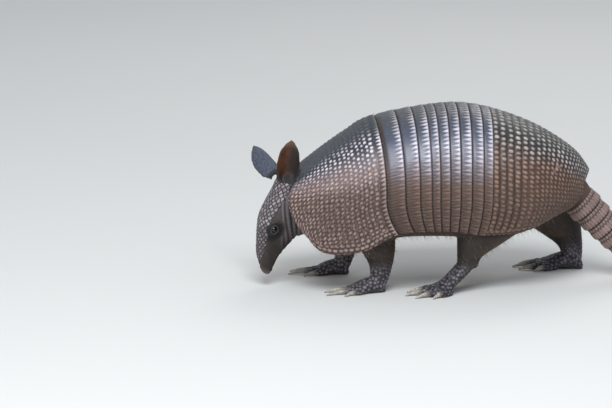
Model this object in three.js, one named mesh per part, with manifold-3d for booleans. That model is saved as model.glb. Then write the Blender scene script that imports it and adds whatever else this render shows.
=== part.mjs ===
// A nine-banded armadillo (Dasypus novemcinctus), life-size and still, its nose to the ground.
//
// Millimetres, +Z up, ground at z = 0. The animal faces -X and its left side faces -Y.
// The shell is one curved surface, cut into a shoulder shield, nine bands and a hip shield.
// Flesh fills it from inside, and the legs, neck and tail root are trimmed to it.

import * as THREE from 'three';
import { mergeVertices } from 'three/addons/utils/BufferGeometryUtils.js';
import Module from 'manifold-3d';

const wasm = await Module();
wasm.setup();

// ---------------------------------------------------------------- driving dimensions

const GAP = 0.3; // clearance between neighbouring pieces
const SOLE_FLAT = 1; // how far a foot is flattened where it rests on the ground
const TAIL_FLAT = 0.5; // and the tail

// The shell: hoops from the shoulder shield's front margin to the hip shield's rear margin.
// Each has its top [x, z], its widest place [x, half width, z] and its lower rim [x, half width, z].
const HOOPS = [
  { top: [-156, 128], side: [-172, 48, 105], rim: [-155, 52, 68] },
  { top: [-136, 147], side: [-141, 66, 105], rim: [-134, 62, 48] },
  { top: [-106, 169.5], side: [-102, 75, 108], rim: [-92, 69, 50] },
  { top: [-73, 187.5], side: [-67, 79, 110], rim: [-53, 73, 69] },
  { top: [5, 200], side: [3, 80, 111], rim: [3, 73, 71] },
  { top: [54, 194.5], side: [49, 79, 110], rim: [42, 72, 66] },
  { top: [106, 175], side: [98, 73, 109], rim: [88, 65, 69] },
  { top: [147, 148.5], side: [133, 53, 105], rim: [119, 49, 80] },
  { top: [166, 125], side: [156, 27, 105], rim: [139, 33, 86] },
];
const SHELL_THICKNESS = 4;
const RIM = 1.4; // section parameter of the lower rim, where 1 is the widest place
const SHELL_COLUMNS = 18; // facets from rim to rim
const SCAPULAR_ROWS = [0, 0.33, 0.67, 1, 1.33, 1.67, 2, 2.33, 2.67, 3];
const BAND_EDGES = [3, 3.32, 3.53, 3.695, 3.825, 3.99, 4.2, 4.465, 4.765, 5]; // hoop positions
const PELVIC_ROWS = [5, 5.35, 5.7, 6.05, 6.4, 6.75, 7.1, 7.4, 7.7, 8];
const OVERLAP_STEP = 1.6; // how far a plate's front edge tucks below the edge before it
const TUCK_LENGTH = 0.3; // over how much of a hoop's length it does so, where the plate is that long
const REAR_GAP = 0.0045; // the clearance behind a plate, as a share of a hoop's length

// The trunk inside the shell.
const TRUNK_CLEARANCE = 1;
const TRUNK_COLUMNS = 12;
const TRUNK_ROWS = [0, 0.5, 1, 1.5, 2, 2.5, 3, 3.5, 4, 4.5, 5, 5.5, 6, 6.5, 7, 7.5, 8];
const BELLY_COLUMNS = 5;
const BELLY_DROP = [3, 2, 4, 13, 15, 13, 10, 6, 3]; // how far the belly hangs below each hoop's rim
const CHEST_NOTCH = [-148, 0, 96]; // the middle of the trunk's front face, between the shoulders

// The head's own frame: x' from between the ears to the nose, y' to its left, z' to its crown.
const HEAD_ORIGIN = new THREE.Vector3(-177, -2, 112);
const HEAD_PITCH = 79; // degrees, nose down
const HEAD_YAW = 18; // degrees, to its left
const HEAD_SIDES = 14;
// [x', crown z', throat z', half width]
const HEAD_STATIONS = [
  [-22, -2, -28, 12],
  [-10, 2, -38, 20],
  [2, 4.5, -40, 22],
  [18, 10, -38, 24],
  [36, 15.5, -36, 23],
  [50, 16, -30, 18],
  [64, 14.5, -21, 13],
  [77, 12.5, -13, 9.8],
  [88, 8, -9, 8.4],
  [96, 3.5, -7, 7.5],
  [99, 0.5, -4.5, 5],
];
const HEAD_WIDEST = 0.45; // the widest level, as a share of the depth below the crown
const HEAD_SQUARENESS = 0.86; // 1 is an ellipse, less is boxier
const HEAD_RINGS = 12;
// The plate on the crown: how far it reaches down each side, in degrees, from its rear to its front.
const HEAD_SHIELD = {
  start: -5, end: 82, halfAngles: [66, 58, 43, 45, 50], thickness: 1.5, rows: 7, columns: 6,
};

const EYE = { x: 47, level: 5.5, radius: 4.3, proud: 1.6 };

const EAR = { length: 47, width: 27, thickness: 2, baseRadius: 6.5, mouthRadius: 13, rows: 7, columns: 7 };
const EAR_PLACES = {
  left: { base: [-6, 13, 1.5], direction: [9, -14, 47], facing: -70 },
  right: { base: [-6, -13, 1.5], direction: [-17, 30, 28], facing: 75 },
};

const NECK = {
  path: [[-136, 0, 98], [-147, 0, 101], [-157, 0, 104], [-166, -1, 106]],
  halfWidths: [33, 31, 28, 23],
  halfHeights: [34, 31, 28, 24],
  sides: 12,
};

const TAIL = {
  start: [140, 0, 105], // inside the hips
  length: 338,
  rootEnd: 20.5, // where the bare root ends and the first ring begins
  firstRing: 16.5,
  ringShortening: 0.45, // how much shorter each ring is than the one before
  ringCount: 12,
  rootRadius: 23,
  firstRingRadius: 19.3,
  lastRingRadius: 9,
  tipRadius: 2,
  slope: 46, // degrees down where it leaves the body
  bendStart: 62,
  bendEnd: 204,
  sway: 16, // degrees of gentle side-to-side curve along the ground
  sides: 12,
};

// Each leg as level slices: [x, distance from the middle, z, half length, half width].
const LEGS = {
  foreleg_left: {
    side: -1,
    slices: [
      [-84, 42, 96, 24, 17],
      [-80, 44, 70, 25, 17],
      [-74, 45, 50, 20, 15],
      [-70, 45, 32, 13.5, 12],
      [-71, 45, 16, 10, 10],
      [-73, 45, 8, 9, 9],
    ],
  },
  foreleg_right: {
    side: 1,
    slices: [
      [-98, 42, 96, 24, 17],
      [-98, 44, 70, 25, 17],
      [-98, 45, 50, 20, 15],
      [-99, 45, 32, 13.5, 12],
      [-102, 45, 16, 10, 10],
      [-104, 45, 8, 9, 9],
    ],
  },
  hindleg_left: {
    side: -1,
    slices: [
      [62, 44, 92, 40, 22],
      [52, 48, 72, 38, 20],
      [38, 52, 54, 25, 17],
      [27, 54, 40, 14, 13],
      [24, 55, 28, 11, 11],
    ],
  },
  hindleg_right: {
    side: 1,
    slices: [
      [112, 34, 92, 34, 20],
      [120, 42, 72, 42, 20],
      [139, 47, 48, 27, 17],
      [153, 50, 29, 15, 13],
      [157, 51, 15, 11, 10.5],
      [157, 51, 9, 10, 9],
    ],
  },
};
const LEG_SIDES = 10;

// Feet lie along their own +X, heel near the origin, sole on z = 0.
// pad: [x, half width, height]; a toe: [base x, base y, splay in degrees, length, claw length].
// Behind the ball of the foot, at x = ball, the pad may rise towards a lifted heel.
const FOREFOOT = {
  ball: 20,
  pad: [[-9, 4, 6], [-5, 9, 14], [4, 11, 18], [14, 12.5, 16], [23, 12, 12], [27, 9, 9]],
  toes: [[18, 8, 22, 10, 14], [20, 3.6, 6, 14, 25], [20, -3.6, -6, 14, 24], [17, -8.5, -24, 10, 14]],
  toeRadius: 4.4,
};
const HINDFOOT = {
  ball: 26,
  pad: [[-12, 4, 7], [-7, 9, 16], [3, 11, 22], [15, 12.5, 19], [28, 14, 14], [36, 12, 11]],
  toes: [
    [22, 11, 30, 12, 12],
    [28, 7.5, 13, 16, 17],
    [30, 0, 0, 18, 19],
    [28, -7.5, -13, 16, 17],
    [20, -11.5, -32, 11, 12],
  ],
  toeRadius: 4.8,
};
const FEET = {
  forefoot_left: { shape: FOREFOOT, position: [-74, -45], heading: 188, leg: 'foreleg_left' },
  forefoot_right: { shape: FOREFOOT, position: [-105, 45], heading: 172, leg: 'foreleg_right' },
  hindfoot_left: { shape: HINDFOOT, position: [20, -56], heading: 192, leg: 'hindleg_left', heelLift: 18 },
  hindfoot_right: { shape: HINDFOOT, position: [157, 51], heading: 172, leg: 'hindleg_right' },
};
const FOOT_SIDES = 10;
const TOE_SIDES = 6;
const CLAW_SIDES = 6;
const CLAW_SHARE = 0.72; // a claw's root radius as a share of its toe's
const CLAW_TIP_HEIGHT = 0.3;

// ---------------------------------------------------------------- materials

const finish = (color, roughness) => new THREE.MeshStandardMaterial({ color, roughness, metalness: 0 });
const shellFinish = () => finish(0x8a8088, 0.5);
const bandFinish = () => finish(0x9698a8, 0.45);
const headShieldFinish = () => finish(0x8f8e90, 0.5);
const skinFinish = () => finish(0x4a3f38, 0.75);
const tailFinish = () => finish(0x8c7872, 0.55);
const earFinish = () => finish(0x5a4a44, 0.65);
const eyeFinish = () => finish(0x0c0b0a, 0.08);
const clawFinish = () => finish(0xc8bfae, 0.45);

// ---------------------------------------------------------------- solids from rows of points

// A closed mesh from vertices and triangles, turned so that its faces point out.
function closedGeometry(vertices, triangles) {
  let volume = 0;
  for (let t = 0; t < triangles.length; t += 3) {
    const [a, b, c] = [0, 1, 2].map((k) => vertices[triangles[t + k]]);
    volume += a.dot(b.clone().cross(c));
  }
  const index = volume < 0 ? triangles.slice().reverse() : triangles;
  const geometry = new THREE.BufferGeometry().setFromPoints(vertices);
  geometry.setIndex(index);
  geometry.computeVertexNormals();
  return geometry;
}

function addQuad(triangles, a, b, c, d) {
  triangles.push(a, b, c, a, c, d);
}

// A body through closed rings of points; each end is a fan about its ring's middle,
// or about the point given for it.
function loft(rings, startPoint, endPoint) {
  const sides = rings[0].length;
  const vertices = rings.flat();
  const triangles = [];
  for (let r = 0; r + 1 < rings.length; r++) {
    for (let i = 0; i < sides; i++) {
      const j = (i + 1) % sides;
      addQuad(triangles, r * sides + i, r * sides + j, (r + 1) * sides + j, (r + 1) * sides + i);
    }
  }
  const middle = (ring) => ring.reduce((sum, p) => sum.add(p), new THREE.Vector3()).divideScalar(sides);
  const lastRing = (rings.length - 1) * sides;
  const startIndex = vertices.push(startPoint ?? middle(rings[0])) - 1;
  const endIndex = vertices.push(endPoint ?? middle(rings[rings.length - 1])) - 1;
  for (let i = 0; i < sides; i++) {
    const j = (i + 1) % sides;
    triangles.push(startIndex, j, i);
    triangles.push(endIndex, lastRing + i, lastRing + j);
  }
  return closedGeometry(vertices, triangles);
}

// A plate between an outer and an inner grid of points, closed along its four edges.
function plate(outer, inner) {
  const rows = outer.length;
  const columns = outer[0].length;
  const vertices = [...outer.flat(), ...inner.flat()];
  const out = (r, c) => r * columns + c;
  const under = (r, c) => (rows + r) * columns + c;
  const triangles = [];
  for (let r = 0; r + 1 < rows; r++) {
    for (let c = 0; c + 1 < columns; c++) {
      addQuad(triangles, out(r, c), out(r, c + 1), out(r + 1, c + 1), out(r + 1, c));
      addQuad(triangles, under(r, c), under(r + 1, c), under(r + 1, c + 1), under(r, c + 1));
    }
    addQuad(triangles, out(r, 0), out(r + 1, 0), under(r + 1, 0), under(r, 0));
    const last = columns - 1;
    addQuad(triangles, out(r, last), under(r, last), under(r + 1, last), out(r + 1, last));
  }
  for (let c = 0; c + 1 < columns; c++) {
    const last = rows - 1;
    addQuad(triangles, out(0, c), under(0, c), under(0, c + 1), out(0, c + 1));
    addQuad(triangles, out(last, c), out(last, c + 1), under(last, c + 1), under(last, c));
  }
  return closedGeometry(vertices, triangles);
}

// A ring of points about a centre, square to a direction, with a side and not a corner at its foot.
function ring(center, direction, halfWidth, halfHeight, sides) {
  const across = new THREE.Vector3(0, 1, 0).addScaledVector(direction, -direction.y).normalize();
  const up = new THREE.Vector3().crossVectors(direction, across).normalize();
  return Array.from({ length: sides }, (_, i) => {
    const angle = ((i + 0.5) / sides) * 2 * Math.PI - Math.PI / 2;
    return center
      .clone()
      .addScaledVector(across, halfWidth * Math.cos(angle))
      .addScaledVector(up, halfHeight * Math.sin(angle));
  });
}

const onGround = (point) => point.setZ(Math.max(point.z, 0));

// ---------------------------------------------------------------- joining and cutting

function toSolid(geometry, matrix = new THREE.Matrix4()) {
  const bare = geometry.clone();
  bare.deleteAttribute('normal');
  bare.deleteAttribute('uv');
  bare.applyMatrix4(matrix);
  const merged = mergeVertices(bare);
  const vertProperties = new Float32Array(merged.attributes.position.array);
  const triVerts = new Uint32Array(merged.index.array);
  return new wasm.Manifold(new wasm.Mesh({ numProp: 3, vertProperties, triVerts }));
}

function toGeometry(solid, matrix = new THREE.Matrix4()) {
  const mesh = solid.getMesh();
  const geometry = new THREE.BufferGeometry();
  geometry.setAttribute('position', new THREE.BufferAttribute(new Float32Array(mesh.vertProperties), 3));
  geometry.setIndex(new THREE.BufferAttribute(new Uint32Array(mesh.triVerts), 1));
  geometry.applyMatrix4(matrix);
  geometry.computeVertexNormals();
  return geometry;
}

const joined = (geometries) => geometries.map((g) => toSolid(g)).reduce((a, b) => a.add(b));

// ---------------------------------------------------------------- the shell's surface

// A smooth curve through values at whole parameters, running on past its ends.
function smoothThrough(values, t) {
  const last = values.length - 1;
  const i = Math.min(Math.max(Math.floor(t), 0), last - 1);
  const u = t - i;
  const before = i > 0 ? values[i - 1] : 2 * values[0] - values[1];
  const after = i + 2 <= last ? values[i + 2] : 2 * values[last] - values[last - 1];
  const [p, q] = [values[i], values[i + 1]];
  const [m, n] = [(q - before) / 2, (after - p) / 2];
  return (2 * u ** 3 - 3 * u ** 2 + 1) * p + (u ** 3 - 2 * u ** 2 + u) * m
    + (3 * u ** 2 - 2 * u ** 3) * q + (u ** 3 - u ** 2) * n;
}

// A point of the shell's outer face: s runs along the hoops, a from rim to rim over the top.
function shellPoint(s, a) {
  const value = (key, k) => smoothThrough(HOOPS.map((hoop) => hoop[key][k]), s);
  const [topX, topZ] = [value('top', 0), value('top', 1)];
  const [sideX, sideY, sideZ] = [0, 1, 2].map((k) => value('side', k));
  const [rimX, rimY, rimZ] = [0, 1, 2].map((k) => value('rim', k));
  const reach = Math.abs(a);
  if (reach <= 1) {
    const angle = (a * Math.PI) / 2;
    const rise = Math.cos(angle);
    return new THREE.Vector3(
      sideX + (topX - sideX) * rise ** 2, sideY * Math.sin(angle), sideZ + (topZ - sideZ) * rise);
  }
  const fall = (reach - 1) / (RIM - 1);
  return new THREE.Vector3(
    sideX + (rimX - sideX) * fall ** 2,
    Math.sign(a) * (sideY + (rimY - sideY) * fall ** 2),
    sideZ + (rimZ - sideZ) * fall);
}

// The same point moved out (or in, where negative) along the surface's normal.
function shellOffset(s, a, distance) {
  const step = 0.02;
  const along = shellPoint(s + step, a).sub(shellPoint(s - step, a));
  const over = shellPoint(s, a + step).sub(shellPoint(s, a - step));
  const normal = new THREE.Vector3().crossVectors(along, over).normalize();
  return shellPoint(s, a).addScaledVector(normal, distance);
}

const arch = (count) => Array.from({ length: count + 1 }, (_, i) => RIM * ((2 * i) / count - 1));

// ---------------------------------------------------------------- shell plates

// A plate of the shell between two rows of hoops; its front edge steps down under the one before.
function shellPlate(rows, stepped) {
  const first = rows[0];
  const last = rows[rows.length - 1];
  const rearGap = last < HOOPS.length - 1 ? REAR_GAP : 0;
  const tuck = Math.min(last - first, TUCK_LENGTH);
  const outer = [];
  const inner = [];
  for (const row of rows) {
    const s = row === last ? last - rearGap : row;
    const lift = stepped ? -OVERLAP_STEP * Math.max(0, 1 - (row - first) / tuck) : 0;
    outer.push(arch(SHELL_COLUMNS).map((a) => shellOffset(s, a, lift)));
    inner.push(arch(SHELL_COLUMNS).map((a) => shellOffset(s, a, -SHELL_THICKNESS)));
  }
  return plate(outer, inner);
}

function addShell(body) {
  body.add(named('scapular_shield', shellPlate(SCAPULAR_ROWS, false), shellFinish()));
  for (let i = 0; i + 1 < BAND_EDGES.length; i++) {
    const rows = [BAND_EDGES[i], BAND_EDGES[i + 1]];
    body.add(named(`band_${i + 1}`, shellPlate(rows, true), bandFinish()));
  }
  body.add(named('pelvic_shield', shellPlate(PELVIC_ROWS, true), shellFinish()));
}

// ---------------------------------------------------------------- trunk and its envelope

// One section of the body at hoop position s: over the back inside the shell, then under the belly.
function bodySection(s, columns, offset, lower) {
  const over = arch(columns).map((a) => shellOffset(s, a, offset));
  const rim = over[over.length - 1];
  rim.z -= lower;
  over[0].z -= lower;
  const drop = smoothThrough(BELLY_DROP, s) + lower;
  const under = [];
  for (let i = 1; i < BELLY_COLUMNS; i++) {
    const angle = (i / BELLY_COLUMNS) * Math.PI;
    under.push(new THREE.Vector3(rim.x, rim.y * Math.cos(angle), rim.z - drop * Math.sin(angle)));
  }
  return [...over, ...under];
}

function trunkGeometry() {
  const inset = -(SHELL_THICKNESS + TRUNK_CLEARANCE);
  const sections = TRUNK_ROWS.map((s) => bodySection(s, TRUNK_COLUMNS, inset, 0));
  return loft(sections, new THREE.Vector3(...CHEST_NOTCH));
}

// The room that the shell and trunk take up, with the clearance that their neighbours keep.
function envelopeSolid() {
  const rows = [...new Set([...SCAPULAR_ROWS, ...BAND_EDGES, ...PELVIC_ROWS])];
  const sections = rows.map((s) => bodySection(s, SHELL_COLUMNS, GAP, 2 * GAP));
  // The shell's thick edges at its two ends, a clearance further out.
  const edge = (s, x) => [GAP, -SHELL_THICKNESS - GAP].map((offset) =>
    bodySection(s, SHELL_COLUMNS, offset, 2 * GAP).map((p) => p.setX(p.x + x)));
  const front = edge(0, -GAP).reverse();
  const rear = edge(HOOPS.length - 1, GAP);
  const notch = new THREE.Vector3(...CHEST_NOTCH).add(new THREE.Vector3(-TRUNK_CLEARANCE, 0, 0));
  return toSolid(loft([...front, ...sections, ...rear], notch));
}

// ---------------------------------------------------------------- head

function headStation(x) {
  const xs = HEAD_STATIONS.map((station) => station[0]);
  let i = 0;
  while (i < xs.length - 2 && x > xs[i + 1]) i++;
  const t = i + (x - xs[i]) / (xs[i + 1] - xs[i]);
  const [crown, throat, half] = [1, 2, 3].map((k) => smoothThrough(HEAD_STATIONS.map((row) => row[k]), t));
  return { crown, throat, half };
}

// A point of the head's surface; the angle runs round from the crown, distance moves it out.
function headPoint(x, angle, distance) {
  const { crown, throat, half } = headStation(x);
  const level = crown - HEAD_WIDEST * (crown - throat);
  const square = (v) => Math.sign(v) * Math.abs(v) ** HEAD_SQUARENESS;
  const [sin, cos] = [square(Math.sin(angle)), square(Math.cos(angle))];
  const depth = cos >= 0 ? crown - level : level - throat;
  return new THREE.Vector3(x, (half + distance) * sin, level + (depth + distance) * cos);
}

function headShieldReach(x) {
  const { start, end, halfAngles } = HEAD_SHIELD;
  const t = THREE.MathUtils.clamp((x - start) / (end - start), 0, 1) * (halfAngles.length - 1);
  return THREE.MathUtils.degToRad(smoothThrough(halfAngles, t));
}

const HEAD_START = HEAD_STATIONS[0][0];
const HEAD_END = HEAD_STATIONS[HEAD_STATIONS.length - 1][0];

// The bare head, grown by a clearance.
function headGeometry(grow) {
  const rings = Array.from({ length: HEAD_RINGS }, (_, r) => {
    const x = THREE.MathUtils.lerp(HEAD_START, HEAD_END, r / (HEAD_RINGS - 1));
    return Array.from({ length: HEAD_SIDES }, (_, i) => headPoint(x, (2 * Math.PI * i) / HEAD_SIDES, grow));
  });
  return loft(rings);
}

// The head's plate; grown by a clearance and built up outwards, it is what cuts its own bed.
function headShieldGeometry(clearance, height) {
  const { start, end, thickness, rows, columns } = HEAD_SHIELD;
  const sideClearance = clearance / 20; // an angle, for a head about 20 mm across each way
  const grid = (distance) =>
    Array.from({ length: rows + 1 }, (_, r) => {
      const share = r / rows;
      const x = THREE.MathUtils.lerp(start, end, share) + clearance * (2 * share - 1);
      const reach = headShieldReach(x) + sideClearance;
      return Array.from({ length: columns + 1 }, (_, c) =>
        headPoint(x, reach * ((2 * c) / columns - 1), distance));
    });
  return plate(grid(height), grid(-thickness - clearance));
}

function eyeCenter(side) {
  const { half } = headStation(EYE.x);
  return new THREE.Vector3(EYE.x, side * (half + EYE.proud - EYE.radius), EYE.level);
}

// The ear: a leaf of skin rolled into a tube at its base and opening to a round-tipped cup.
// Its own frame has +Z along the ear and its mouth facing -X.
function earGeometry() {
  const { length, width, thickness, baseRadius, mouthRadius, rows, columns } = EAR;
  const grid = (distance) =>
    Array.from({ length: rows + 1 }, (_, r) => {
      const u = r / rows;
      const opening = THREE.MathUtils.smoothstep(u, 0, 0.45);
      const radius = THREE.MathUtils.lerp(baseRadius, mouthRadius, opening);
      const leaf = Math.sin(Math.PI * THREE.MathUtils.lerp(0.3, 0.94, u)) ** 0.6;
      const reach = THREE.MathUtils.lerp(2.6 * baseRadius, 0.62 * width, opening) * leaf;
      return Array.from({ length: columns + 1 }, (_, c) => {
        const v = (2 * c) / columns - 1;
        const angle = (v * reach) / radius;
        return new THREE.Vector3(
          (radius - distance) * Math.cos(angle) - radius,
          (radius - distance) * Math.sin(angle),
          length * (u - 0.12 * u * v * v));
      });
    });
  return plate(grid(0), grid(thickness));
}

function addEar(head, sideName, room) {
  const { base, direction, facing } = EAR_PLACES[sideName];
  const ear = new THREE.Group();
  const up = new THREE.Vector3(...direction).normalize();
  const turn = new THREE.Quaternion().setFromUnitVectors(new THREE.Vector3(0, 0, 1), up);
  const spin = new THREE.Quaternion().setFromAxisAngle(
    new THREE.Vector3(0, 0, 1), THREE.MathUtils.degToRad(facing));
  const worldTurn = turn.multiply(spin);
  const headTurn = head.quaternion.clone().invert();
  ear.quaternion.copy(headTurn.multiply(worldTurn));
  ear.position.set(...base);
  ear.updateMatrix();
  const trimmed = toSolid(earGeometry(), ear.matrix).subtract(room);
  ear.add(named(`ear_${sideName}`, toGeometry(trimmed, ear.matrix.clone().invert()), earFinish()));
  head.add(ear);
}

function makeHead(chest) {
  const head = new THREE.Group();
  head.position.copy(HEAD_ORIGIN);
  head.rotation.set(
    0, THREE.MathUtils.degToRad(HEAD_PITCH), Math.PI + THREE.MathUtils.degToRad(HEAD_YAW), 'ZYX');
  head.updateMatrix();
  const bodyRoom = toSolid(toGeometry(chest), head.matrix.clone().invert());
  const headRoom = toSolid(headGeometry(GAP)).add(bodyRoom);
  let skull = toSolid(headGeometry(0)).subtract(bodyRoom).subtract(toSolid(headShieldGeometry(GAP, 3)));
  for (const [sideName, side] of [['left', 1], ['right', -1]]) {
    const center = eyeCenter(side);
    const socket = new THREE.SphereGeometry(EYE.radius + GAP, 10, 7).translate(center.x, center.y, center.z);
    skull = skull.subtract(toSolid(socket));
    const eye = named(`eye_${sideName}`, closedSphere(EYE.radius), eyeFinish());
    eye.position.copy(center);
    head.add(eye);
    addEar(head, sideName, headRoom);
  }
  head.add(named('head', toGeometry(skull), skinFinish()));
  head.add(named('head_shield', headShieldGeometry(0, 0), headShieldFinish()));
  return head;
}

const closedSphere = (radius) => toGeometry(toSolid(new THREE.SphereGeometry(radius, 12, 7)));

// ---------------------------------------------------------------- neck

function neckSolid(grow) {
  const curve = new THREE.CatmullRomCurve3(NECK.path.map((p) => new THREE.Vector3(...p)));
  const steps = 5;
  const last = NECK.path.length - 1;
  const rings = Array.from({ length: steps + 1 }, (_, i) => {
    const t = (i / steps) * last;
    return ring(curve.getPoint(i / steps), curve.getTangent(i / steps),
      smoothThrough(NECK.halfWidths, t) + grow, smoothThrough(NECK.halfHeights, t) + grow, NECK.sides);
  });
  const end = rings[steps].map((p) => p.clone().setX(p.x - grow));
  return toSolid(loft(grow > 0 ? [...rings, end] : rings));
}

// ---------------------------------------------------------------- tail

// Where ring i begins, along the tail.
const ringStart = (i) => TAIL.rootEnd + i * TAIL.firstRing - (TAIL.ringShortening * i * (i - 1)) / 2;

function tailRadius(l) {
  const { rootEnd, length, rootRadius, firstRingRadius, lastRingRadius, tipRadius } = TAIL;
  const tipStart = ringStart(TAIL.ringCount);
  if (l < rootEnd) return THREE.MathUtils.lerp(rootRadius, firstRingRadius, l / rootEnd);
  if (l < tipStart) {
    return THREE.MathUtils.lerp(firstRingRadius, lastRingRadius, (l - rootEnd) / (tipStart - rootEnd));
  }
  return THREE.MathUtils.lerp(lastRingRadius, tipRadius, (l - tipStart) / (length - tipStart));
}

// The tail's middle line, walked in short steps: straight down its slope, then a bend on to the ground.
function tailLine() {
  const step = 2;
  const point = new THREE.Vector3(...TAIL.start);
  const line = [];
  for (let l = 0; l <= TAIL.length + step; l += step) {
    const bend = THREE.MathUtils.smoothstep(l, TAIL.bendStart, TAIL.bendEnd);
    const pitch = THREE.MathUtils.degToRad(TAIL.slope) * (1 - bend);
    const heading = THREE.MathUtils.degToRad(TAIL.sway) * bend * Math.cos((1.6 * Math.PI * l) / TAIL.length);
    const direction = new THREE.Vector3(
      Math.cos(pitch) * Math.cos(heading), Math.cos(pitch) * Math.sin(heading), -Math.sin(pitch));
    const rest = tailRadius(l) - TAIL_FLAT;
    line.push({ point: point.clone().setZ(Math.max(point.z, rest)), direction });
    point.addScaledVector(direction, step);
  }
  return (l) => {
    const i = Math.min(Math.floor(l / step), line.length - 2);
    const u = l / step - i;
    return {
      point: line[i].point.clone().lerp(line[i + 1].point, u),
      direction: line[i].direction.clone().lerp(line[i + 1].direction, u).normalize(),
    };
  };
}

function addTail(body, envelope) {
  const lineAt = tailLine();
  const section = (l, shrink = 0) => {
    const { point, direction } = lineAt(l);
    const radius = tailRadius(l) - shrink;
    return ring(point, direction, radius, radius, TAIL.sides).map(onGround);
  };
  const root = toSolid(loft([0, 0.5, 1].map((u) => section(u * (TAIL.rootEnd - GAP), 1)))).subtract(envelope);
  body.add(named('tail_root', toGeometry(root), skinFinish()));
  for (let i = 0; i < TAIL.ringCount; i++) {
    const name = `tail_ring_${String(i + 1).padStart(2, '0')}`;
    const ends = [section(ringStart(i), OVERLAP_STEP / 2), section(ringStart(i + 1) - GAP)];
    body.add(named(name, loft(ends), tailFinish()));
  }
  const tipStart = ringStart(TAIL.ringCount);
  const steps = 6;
  const tip = Array.from({ length: steps + 1 }, (_, i) =>
    section(THREE.MathUtils.lerp(tipStart, TAIL.length, i / steps)));
  body.add(named('tail_tip', loft(tip), tailFinish()));
}

// ---------------------------------------------------------------- feet and legs

function footSolid({ ball, pad, toes, toeRadius }, heelLift, grow) {
  const palm = loft(pad.map(([x, half, height]) => {
    const lift = heelLift * Math.max(0, (ball - x) / ball) ** 1.3;
    const center = new THREE.Vector3(x, 0, height / 2 - SOLE_FLAT + lift);
    return ring(center, new THREE.Vector3(1, 0, 0), half + grow, height / 2 + grow, FOOT_SIDES).map(onGround);
  }));
  const digits = toes.map(([x, y, splay, length]) => {
    const direction = toeDirection(splay);
    const radius = toeRadius + grow;
    const rings = [0, 0.55, 1].map((u) => {
      const center = new THREE.Vector3(x, y, toeRadius - SOLE_FLAT).addScaledVector(direction, u * length);
      const swell = 1 + 0.1 * Math.sin(Math.PI * u);
      return ring(center, direction, radius * swell, radius * swell, TOE_SIDES).map(onGround);
    });
    return loft(rings);
  });
  return joined([palm, ...digits]);
}

function toeDirection(splay) {
  const angle = THREE.MathUtils.degToRad(splay);
  return new THREE.Vector3(Math.cos(angle), Math.sin(angle), 0);
}

// A claw from its root at the origin, along +X and curving down to the ground.
function clawGeometry(length, rootRadius, rootHeight) {
  const rings = [0, 0.3, 0.6, 0.85].map((u) => {
    const center = new THREE.Vector3(u * length, 0, rootHeight * (1 - 0.85 * u ** 2.2));
    const slope = new THREE.Vector3(1, 0, (-1.87 * rootHeight * u ** 1.2) / length).normalize();
    const radius = rootRadius * (1 - 0.78 * u);
    return ring(center, slope, radius * 0.9, radius, CLAW_SIDES).map(onGround);
  });
  return loft(rings, undefined, new THREE.Vector3(length, 0, CLAW_TIP_HEIGHT));
}

function makeFoot(name, { shape, position, heading, heelLift = 0 }) {
  const foot = new THREE.Group();
  foot.position.set(position[0], position[1], 0);
  foot.rotation.z = THREE.MathUtils.degToRad(heading);
  foot.add(named(name, toGeometry(footSolid(shape, heelLift, 0)), skinFinish()));
  shape.toes.forEach(([x, y, splay, length, clawLength], i) => {
    const rootRadius = shape.toeRadius * CLAW_SHARE;
    const rootHeight = shape.toeRadius - SOLE_FLAT;
    const geometry = clawGeometry(clawLength, rootRadius, rootHeight);
    const claw = named(`${name}_claw_${i + 1}`, geometry, clawFinish());
    const root = new THREE.Vector3(x, y, 0).addScaledVector(toeDirection(splay), length + GAP);
    claw.position.copy(root);
    claw.rotation.z = THREE.MathUtils.degToRad(splay);
    foot.add(claw);
  });
  return foot;
}

function legSolid({ side, slices }) {
  const up = new THREE.Vector3(0, 0, 1);
  const rings = slices.map(([x, out, z, halfLength, halfWidth]) =>
    ring(new THREE.Vector3(x, side * out, z), up, halfWidth, halfLength, LEG_SIDES));
  return toSolid(loft(rings));
}

function addLegs(body, envelope) {
  for (const [name, placed] of Object.entries(FEET)) {
    const foot = makeFoot(name, placed);
    foot.updateMatrix();
    const room = toSolid(toGeometry(footSolid(placed.shape, placed.heelLift ?? 0, GAP)), foot.matrix);
    const leg = legSolid(LEGS[placed.leg]).subtract(envelope).subtract(room);
    body.add(named(placed.leg, toGeometry(leg), skinFinish()));
    body.add(foot);
  }
}

// ---------------------------------------------------------------- the animal

function named(name, geometry, material) {
  const mesh = new THREE.Mesh(geometry, material);
  mesh.name = name;
  return mesh;
}

function makeArmadillo() {
  const body = new THREE.Group();
  const envelope = envelopeSolid();
  addShell(body);
  body.add(named('trunk', trunkGeometry(), skinFinish()));

  body.add(named('neck', toGeometry(neckSolid(0).subtract(envelope)), skinFinish()));
  body.add(makeHead(envelope.add(neckSolid(GAP))));

  addTail(body, envelope);
  addLegs(body, envelope);
  return body;
}

// The origin is on the ground, under the middle of the whole animal.
const armadillo = new THREE.Group();
const body = makeArmadillo();
armadillo.add(body);
armadillo.updateMatrixWorld(true);
const box = new THREE.Box3().setFromObject(body, true);
const middle = box.getCenter(new THREE.Vector3());
body.position.set(-middle.x, -middle.y, -box.min.z);

export default armadillo;
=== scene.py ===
# %% [markdown]
# # A nine-banded armadillo, life-size and still
#
# The animal walks with its nose to the floor. Its armour is horn over bone: a shield on the
# shoulders, nine narrow bands, a shield on the hips, a cap on the head and rings on the tail.
# Everything else is bare, wrinkled skin with a few stiff hairs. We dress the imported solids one
# layer at a time: first the armour, then one skin under all of it, then eyes, claws and hair.

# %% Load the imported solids
import math

import bmesh
import bpy
import numpy as np
from mathutils import Matrix, Quaternion, Vector
from mathutils.bvhtree import BVHTree
from mathutils.kdtree import KDTree


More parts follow.
